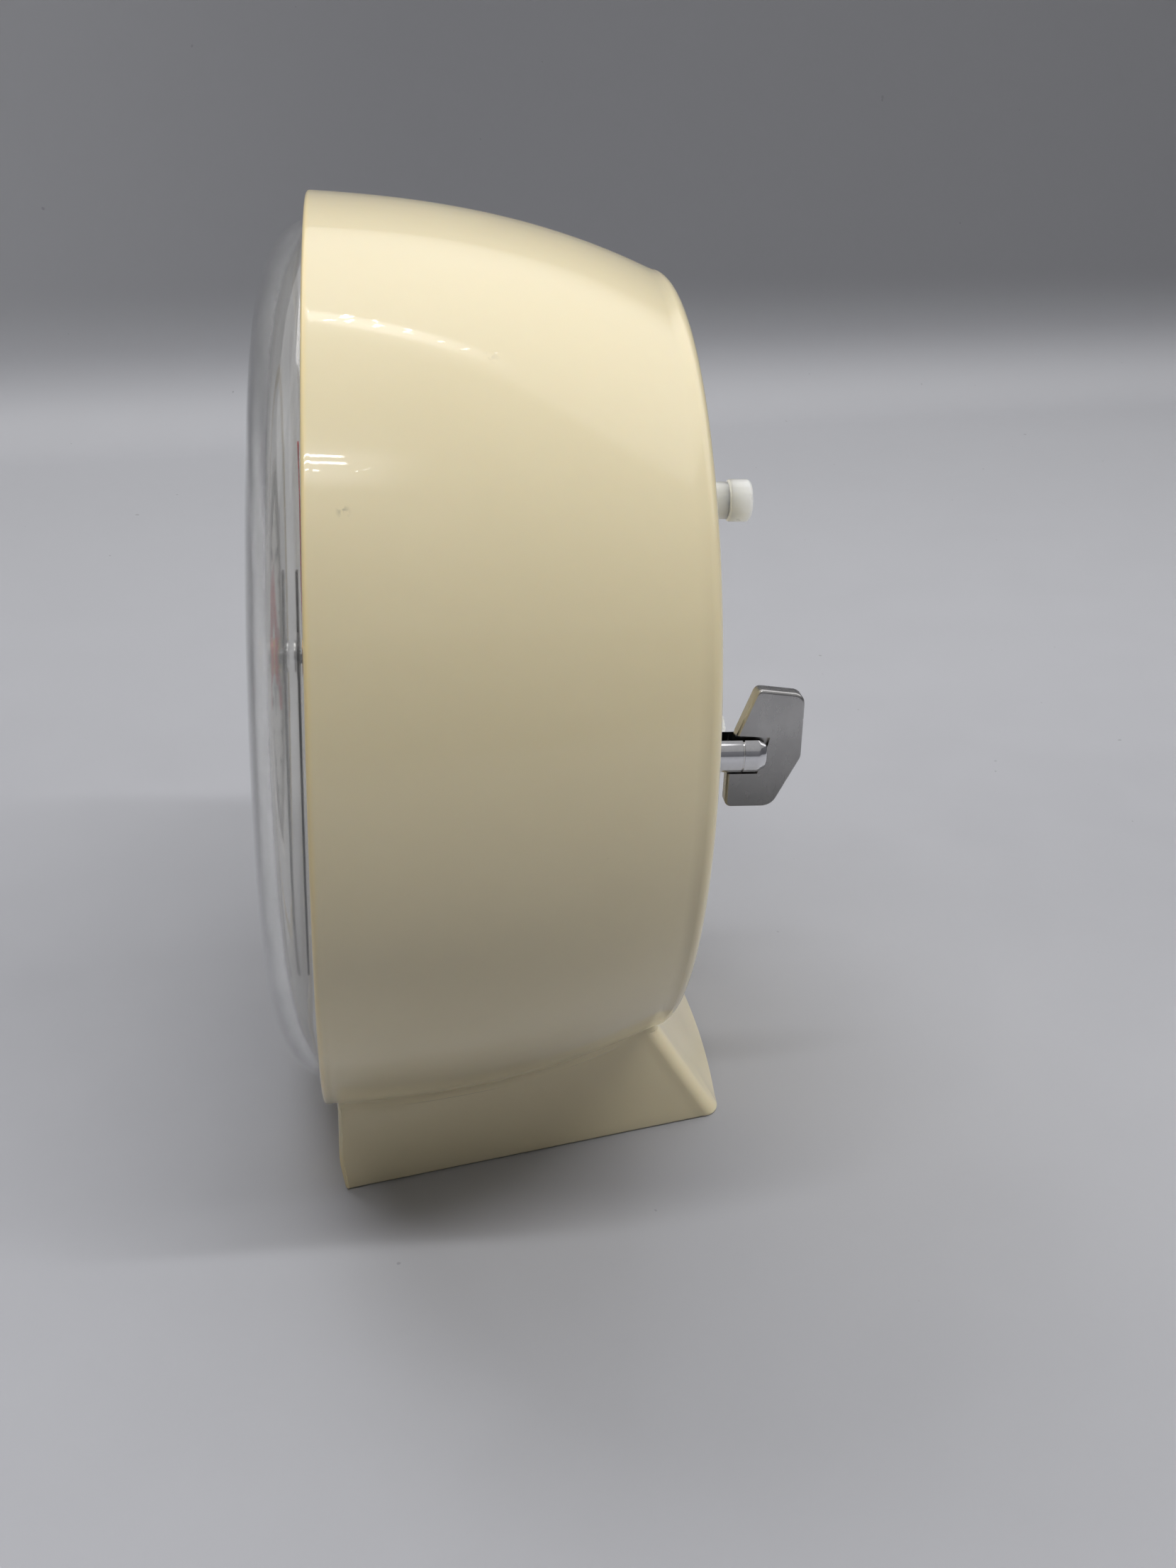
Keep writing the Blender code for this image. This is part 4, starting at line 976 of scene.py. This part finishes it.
setter = turned("setting_knob", [(1.5, 48.2, 0.1), (3.4, 48.2, 0.15), (3.4, 50.0, 0.4), (4.5, 50.35, 0.3),
                                 (4.5, 54.8, 0.3), (4.15, 55.4, 0.35), (3.2, 55.4, 0.2),
                                 (3.0, 55.2, 0.15), (2.2, 55.2, 0.15), (1.5, 55.35, 0.1)],
                (SET_X, SET_Z), NYLON, 180, sharp=50, wobble=flutes)
stands_for(setter, "set_knob", "nylon", "set_knob")

# ============================================================== winding key
hub = turned("forked_hub", [(0, 48.2), (2.56, 48.2, 0.15), (2.56, 52.16), (2.40, 52.24, 0.05),
                            (2.40, 52.36, 0.05), (2.56, 52.44), (2.56, 54.25, 0.9),
                            (2.05, 55.28, 0.45), (1.3, 55.4, 0.2), (0, 55.4)], (KEY_X, KEY_Z),
             CHROME, 128, sharp=40)
slot_tool = prism([(49.4, KEY_Z - 4), (57.0, KEY_Z - 4), (57.0, KEY_Z + 4), (49.4, KEY_Z + 4)],
                  KEY_X - 1.40, KEY_X + 1.40, "X")
cut(hub, slot_tool, 40)
PIN_Y = 53.4
cut(hub, prism([(PIN_Y + 1.0 * math.cos(t), KEY_Z + 1.0 * math.sin(t)) for t in
                [2 * math.pi * i / 40 for i in range(40)]], KEY_X - 2.2, KEY_X + 2.2, "X"), 40)
stands_for(hub, "winding_key", "chrome", "key_hub")
pin = bevelled("hinge_pin", [(PIN_Y + 0.7 * math.cos(t), KEY_Z + 0.7 * math.sin(t)) for t in
                             [2 * math.pi * i / 40 for i in range(40)]], KEY_X - 1.95, KEY_X + 1.95,
               0.15, HARD, "X")
stands_for(pin, "winding_key", "steel", "key_pin")

wing_line = fillet([(53.66, 3.13, 0.9), (59.72, 2.42, 1.5), (59.88, -6.05, 1.6),
                    (56.62, -12.75, 2.0), (50.6, -12.75, 0.85), (50.6, -7.8, 6.0),
                    (51.35, -3.2, 4.0)], closed=True, n=9)
dense = []
for i in range(len(wing_line)):
    a, b = wing_line[i - 1], wing_line[i]
    n = max(1, int(math.hypot(b[0] - a[0], b[1] - a[1]) / 0.5))
    for k in range(n):
        dense.append((a[0] + (b[0] - a[0]) * k / n, a[1] + (b[1] - a[1]) * k / n))
wing = bevelled("folding_wing", dense, KEY_X - 1.1, KEY_X + 1.1, 0.42, SATIN, "X", steps=7)
for side in (-1, 1):
    # shallow recess that clears the prong
    pocket = [(49.0, -2.75), (51.4, -2.95), (55.68, -3.25), (54.86, -7.0), (54.4, -8.15), (49.0, -8.15)]
    x_in, x_out = KEY_X + side * 0.55, KEY_X + side * 1.6
    cut(wing, prism(pocket, min(x_in, x_out), max(x_in, x_out), "X"), 32)
cut(wing, prism([(PIN_Y + 1.0 * math.cos(t), KEY_Z + 1.0 * math.sin(t)) for t in
                 [2 * math.pi * i / 40 for i in range(40)]], KEY_X - 3, KEY_X + 3, "X"), 32)
stands_for(wing, "key_wing", "wing", "key_wing")

arbor = turned("winding_square", [(0, 6.1), (1.4, 6.1, 0.15), (1.4, 7.6), (2.5, 7.6, 0.2),
                                  (2.5, 47.9, 0.3), (0, 47.9)], (KEY_X, KEY_Z), CHROME, 96)
stands_for(arbor, "winding_key", "chrome", "winding_arbor")

bell = turned("polished_bell", [(1.6, 39.2, 0.1), (1.6, 40.0, 0.1), (7.3, 39.75, 3.0), (11.1, 38.0, 2.0),
                                (12.42, 35.0, 3.0), (12.5, 32.6, 0.2), (11.75, 32.6, 0.2),
                                (11.6, 34.9, 3.0), (10.3, 37.25, 2.0), (7.1, 38.95, 3.0)],
              (BELL_X, BELL_Z), CHROME, 128, sharp=40)
stands_for(bell, "case", "chrome", "bell")

# ============================================== finish of the carried-over nodes
finish_of = {
    "front_plate": STEEL, "rear_plate": STEEL, "pallet_lever": STEEL, "bell_post": STEEL,
    "bell_nut": STEEL, "click_screw": STEEL,
    "spring_barrel": BRASS, "great_wheel": BRASS, "centre_wheel": BRASS, "third_wheel": BRASS,
    "escape_wheel": BRASS, "balance_wheel": BRASS, "set_pipe": BRASS, "set_wheel": BRASS,
    "stop_stem": NYLON, "stop_knob": NYLON, "set_knob": NYLON,
}
for name, ob in NODES.items():
    mat = finish_of.get(name)
    if mat is None:
        mat = STEEL if name.startswith(("pillar", "cover_post", "cover_screw")) else HARD
    for s_ in ob.material_slots:
        s_.material = mat
    if not ob.material_slots:
        ob.data.materials.append(mat)


# ==================================================== floor, light and camera
CAM = Vector((0.2102424, -0.0205343, 0.1409484))
RIGHT = Vector((0.12378325, 0.99155913, 0.03857719))
UP = Vector((-0.42400589, 0.01770313, 0.90548639))
BACK = Vector((0.89716036, -0.12844101, 0.42261826))

cam_data = bpy.data.cameras.new("camera")
cam_data.lens = 2400.0 * 36.0 / 2212.0
cam_data.sensor_width = 36.0
cam_data.sensor_fit = "AUTO"
cam_data.clip_start = 0.01
cam_data.clip_end = 20.0
cam = bpy.data.objects.new("camera", cam_data)
bpy.context.scene.collection.objects.link(cam)
cam.matrix_world = Matrix(((RIGHT.x, UP.x, BACK.x, CAM.x), (RIGHT.y, UP.y, BACK.y, CAM.y),
                           (RIGHT.z, UP.z, BACK.z, CAM.z), (0, 0, 0, 1)))
bpy.context.scene.camera = cam


def floor_material():
    s = Shader("pale_grey_sweep")
    broad = s.noise(3.0, 3.0, 0.5)
    fine = s.noise(60.0, 4.0, 0.6)
    mixed = s.math("ADD", s.math("MULTIPLY", broad, 0.75), s.math("MULTIPLY", fine, 0.25))
    colour = s.ramp(mixed, [(0.35, (0.362, 0.365, 0.389)), (0.65, (0.392, 0.395, 0.421))])
    x, y, z = s.xyz()
    # painted light and shade: the sheet is painted paler toward its bend, where light falls on it, and
    # painted dark grey where it stands upright, where shade falls
    painted_bend_light = s.remap(x, -0.04, -0.38, 0.0, 0.92)
    colour = s.mix(painted_bend_light, colour, (0.68, 0.685, 0.715))
    painted_wall_shade = s.math("MULTIPLY", s.remap(z, 0.002, 0.05, 0.0, 1.0, True),
                     s.remap(y, -0.22, 0.02, 0.42, 0.62, True))
    colour = s.mix(painted_wall_shade, colour, (0.06, 0.0605, 0.065))
    specks = s.remap(s.noise(420.0, 1.0, 0.3), 0.825, 0.84, 0.0, 0.5, True)
    colour = s.mix(specks, colour, (0.20, 0.20, 0.21))
    rough = s.remap(fine, 0.3, 0.7, 0.50, 0.60)
    s.bump([(fine, 0.05, 0.0002)])
    return s.out(colour, rough)


def sweep():
    """Flat floor that turns up into a wall on a small radius, rectangular in
    plan with round corners, square to the camera."""
    fwd = Vector((-0.9715, -0.2369, 0))
    side = Vector((-fwd.y, fwd.x, 0)) * -1.0
    ground = Vector((0, 0, 0))
    f_far, f_near, half, rc = 0.380, -0.80, 0.80, 0.20
    plan = []
    for sx, sy, a0 in ((1, 1, 0), (-1, 1, 90), (-1, -1, 180), (1, -1, 270)):
        cx = (f_far - rc) if sx > 0 else (f_near + rc)
        cy = sy * (half - rc)
        for k in range(13):
            a = math.radians(a0 + 90 * k / 12)
            plan.append((cx, cy, math.cos(a), math.sin(a)))
    bend = 0.028
    prof = [(-0.15, 0.0), (-0.08, 0.0)]
    for k in range(13):
        a = math.pi / 2 * k / 12
        prof.append((-bend + bend * math.sin(a), bend * (1 - math.cos(a))))
    prof += [(0.0, 0.12), (0.0, 0.25), (0.0, 0.42)]
    verts, faces = [], []
    for d, z in prof:
        for cx, cy, nx, ny in plan:
            p = ground + fwd * (cx + nx * (rc + d)) + side * (cy + ny * (rc + d))
            verts.append((p.x, p.y, z))
    n = len(plan)
    for i in range(len(prof) - 1):
        for k in range(n):
            k2 = (k + 1) % n
            faces.append((i * n + k, i * n + k2, (i + 1) * n + k2, (i + 1) * n + k))
    faces.append(tuple(range(n)))
    me = bpy.data.meshes.new("sweep")
    me.from_pydata(verts, [], faces)
    bm = bmesh.new()
    bm.from_mesh(me)
    bmesh.ops.recalc_face_normals(bm, faces=bm.faces)
    bm.to_mesh(me)
    bm.free()
    me.shade_smooth()
    me.set_sharp_from_angle(angle=math.radians(50))
    me.materials.append(floor_material())
    ob = bpy.data.objects.new("studio_sweep", me)
    bpy.context.scene.collection.objects.link(ob)


sweep()


def area(name, pos, look, sx, sy, power, colour=(1, 1, 1), shape="RECTANGLE", spread=180):
    l = bpy.data.lights.new(name, "AREA")
    l.shape = shape
    l.size = sx
    if shape in ("RECTANGLE", "ELLIPSE"):
        l.size_y = sy
    l.energy = power
    l.color = colour
    l.spread = math.radians(spread)
    ob = bpy.data.objects.new(name, l)
    bpy.context.scene.collection.objects.link(ob)
    ob.location = pos
    d = Vector(look) - Vector(pos)
    ob.rotation_mode = "QUATERNION"
    ob.rotation_quaternion = d.to_track_quat("-Z", "Y")
    return ob


TARGET = (0.0, -0.005, 0.05)
for name, pos, look, sx, sy, power in (
        ("soft_back", (-0.45, 0.0, 0.95), (0, 0, 0), 0.5, 1.0, 1.8),
        ("soft_back_front", (-0.40, -0.40, 0.90), (0, 0, 0), 0.4, 0.4, 2.9),
        ("soft_over", (0.0, 0.0, 1.20), (0, 0, 0), 0.8, 0.8, 1.55),
        ("soft_rear", (0.0, 0.60, 0.90), (0, 0, 0), 0.8, 0.5, 1.15),
        ("strip_over", (0.245, 0.05, 0.80), (0.245, 0.05, 0), 0.04, 0.9, 4.6)):
    area(name, pos, look, sx, sy, power).visible_glossy = False
area("low_rear", (-0.08, 0.62, 0.13), (0.0, 0.02, 0.03), 0.20, 0.10, 0.11,
     spread=56).visible_glossy = False


def studio_world():
    """What the glossy surfaces see overhead: a soft panel, lamps and strips.
    Coordinates are those of a level ceiling, x / z and y / z of the ray."""
    world = bpy.data.worlds.new("studio_light")
    bpy.context.scene.world = world
    world.use_nodes = True
    nt = world.node_tree
    bg = nt.nodes["Background"]

    def add(kind, **props):
        n = nt.nodes.new(kind)
        for key, value in props.items():
            setattr(n, key, value)
        return n

    def math2(op, a, b=None):
        n = add("ShaderNodeMath", operation=op)
        for i, v in enumerate((a, b)):
            if v is None:
                continue
            if isinstance(v, (int, float)):
                n.inputs[i].default_value = v
            else:
                nt.links.new(v, n.inputs[i])
        return n.outputs[0]

    def remap(v, a, b, c, d):
        n = add("ShaderNodeMapRange", interpolation_type="SMOOTHSTEP")
        for i, q in zip((1, 2, 3, 4), (a, b, c, d)):
            n.inputs[i].default_value = q
        nt.links.new(v, n.inputs[0])
        return n.outputs[0]

    tc = add("ShaderNodeTexCoord")
    sp = add("ShaderNodeSeparateXYZ")
    nt.links.new(tc.outputs["Generated"], sp.inputs[0])
    z = math2("MAXIMUM", sp.outputs["Z"], 0.02)
    X = math2("DIVIDE", sp.outputs["X"], z)
    Y = math2("DIVIDE", sp.outputs["Y"], z)
    above = remap(sp.outputs["Z"], 0.05, 0.30, 0.0, 1.0)

    def box(x0, x1, y0, y1, ex, ey):
        a = math2("MULTIPLY", remap(X, x0 - ex, x0 + ex, 0.0, 1.0), remap(X, x1 - ex, x1 + ex, 1.0, 0.0))
        b = math2("MULTIPLY", remap(Y, y0 - ey, y0 + ey, 0.0, 1.0), remap(Y, y1 - ey, y1 + ey, 1.0, 0.0))
        return math2("MULTIPLY", a, b)

    # soft panel behind, its near edge runs a little askew
    skew = math2("SUBTRACT", X, math2("MULTIPLY", remap(Y, -0.2, 0.9, 0.0, 0.36), 1.0))
    panel = math2("MULTIPLY", remap(skew, -0.29, -0.20, 1.0, 0.0), remap(X, -1.6, -1.0, 0.0, 1.0))
    total = math2("MULTIPLY", panel, 0.8)
    # lamp strip along the panel's near edge
    s1 = math2("SUBTRACT", X, math2("MULTIPLY", Y, 0.42))
    stripe = math2("MULTIPLY", remap(s1, -0.345, -0.315, 0.0, 1.0), remap(s1, -0.285, -0.25, 1.0, 0.0))
    stripe = math2("MULTIPLY", stripe, math2("MULTIPLY", remap(Y, -0.12, 0.02, 0.0, 1.0),
                                             remap(Y, 0.10, 0.42, 1.0, 0.0)))
    total = math2("ADD", total, math2("MULTIPLY", stripe, 3.2))
    wn = add("ShaderNodeTexNoise")
    wn.inputs["Scale"].default_value = 60.0
    wn.inputs["Detail"].default_value = 3.0
    wobble = remap(wn.outputs["Fac"], 0.3, 0.7, -0.007, 0.007)
    Xw, Yw = math2("ADD", X, wobble), math2("SUBTRACT", Y, wobble)
    for x0, y0, r, power in ((-0.312, 0.008, 0.014, 30.0), (-0.300, 0.066, 0.015, 34.0),
                             (-0.272, 0.072, 0.011, 34.0), (-0.268, 0.044, 0.008, 22.0),
                             (-0.284, 0.110, 0.014, 26.0), (-0.262, 0.113, 0.012, 26.0),
                             (-0.250, 0.158, 0.015, 14.0), (-0.236, 0.166, 0.010, 12.0),
                             (-0.213, 0.221, 0.010, 9.0), (-0.188, 0.263, 0.009, 9.0),
                             (-0.200, 0.326, 0.009, 7.0), (0.494, 0.111, 0.006, 16.0),
                             (0.473, 0.134, 0.005, 12.0)):
        d = math2("SQRT", math2("ADD", math2("POWER", math2("SUBTRACT", Xw, x0), 2.0),
                                math2("POWER", math2("MULTIPLY", math2("SUBTRACT", Yw, y0), 1.9), 2.0)))
        total = math2("ADD", total, remap(d, 0.25 * r, r, power, 0.0))
    # two thin tubes and their diffuser, nearer the viewer
    for x0, x1, y0, y1, power in ((0.412, 0.421, -0.25, 0.086, 34.0), (0.446, 0.456, -0.25, 0.092, 36.0),
                                  (0.488, 0.495, -0.10, 0.043, 22.0)):
        total = math2("ADD", total, math2("MULTIPLY", box(x0, x1, y0, y1, 0.0025, 0.006), power))
    total = math2("ADD", total, math2("MULTIPLY", box(0.39, 0.56, -0.30, 0.15, 0.05, 0.12), 2.3))
    # the room round about
    room = remap(sp.outputs["Z"], -0.2, 0.9, 0.16, 0.36)
    total = math2("ADD", math2("MULTIPLY", total, above), room)
    nt.links.new(total, bg.inputs["Strength"])
    bg.inputs["Color"].default_value = (0.99, 0.985, 1.0, 1.0)
    world.cycles_visibility.diffuse = False


studio_world()

bpy.context.scene.view_settings.view_transform = "Standard"
bpy.context.scene.view_settings.look = "None"
bpy.context.scene.view_settings.exposure = 0.0
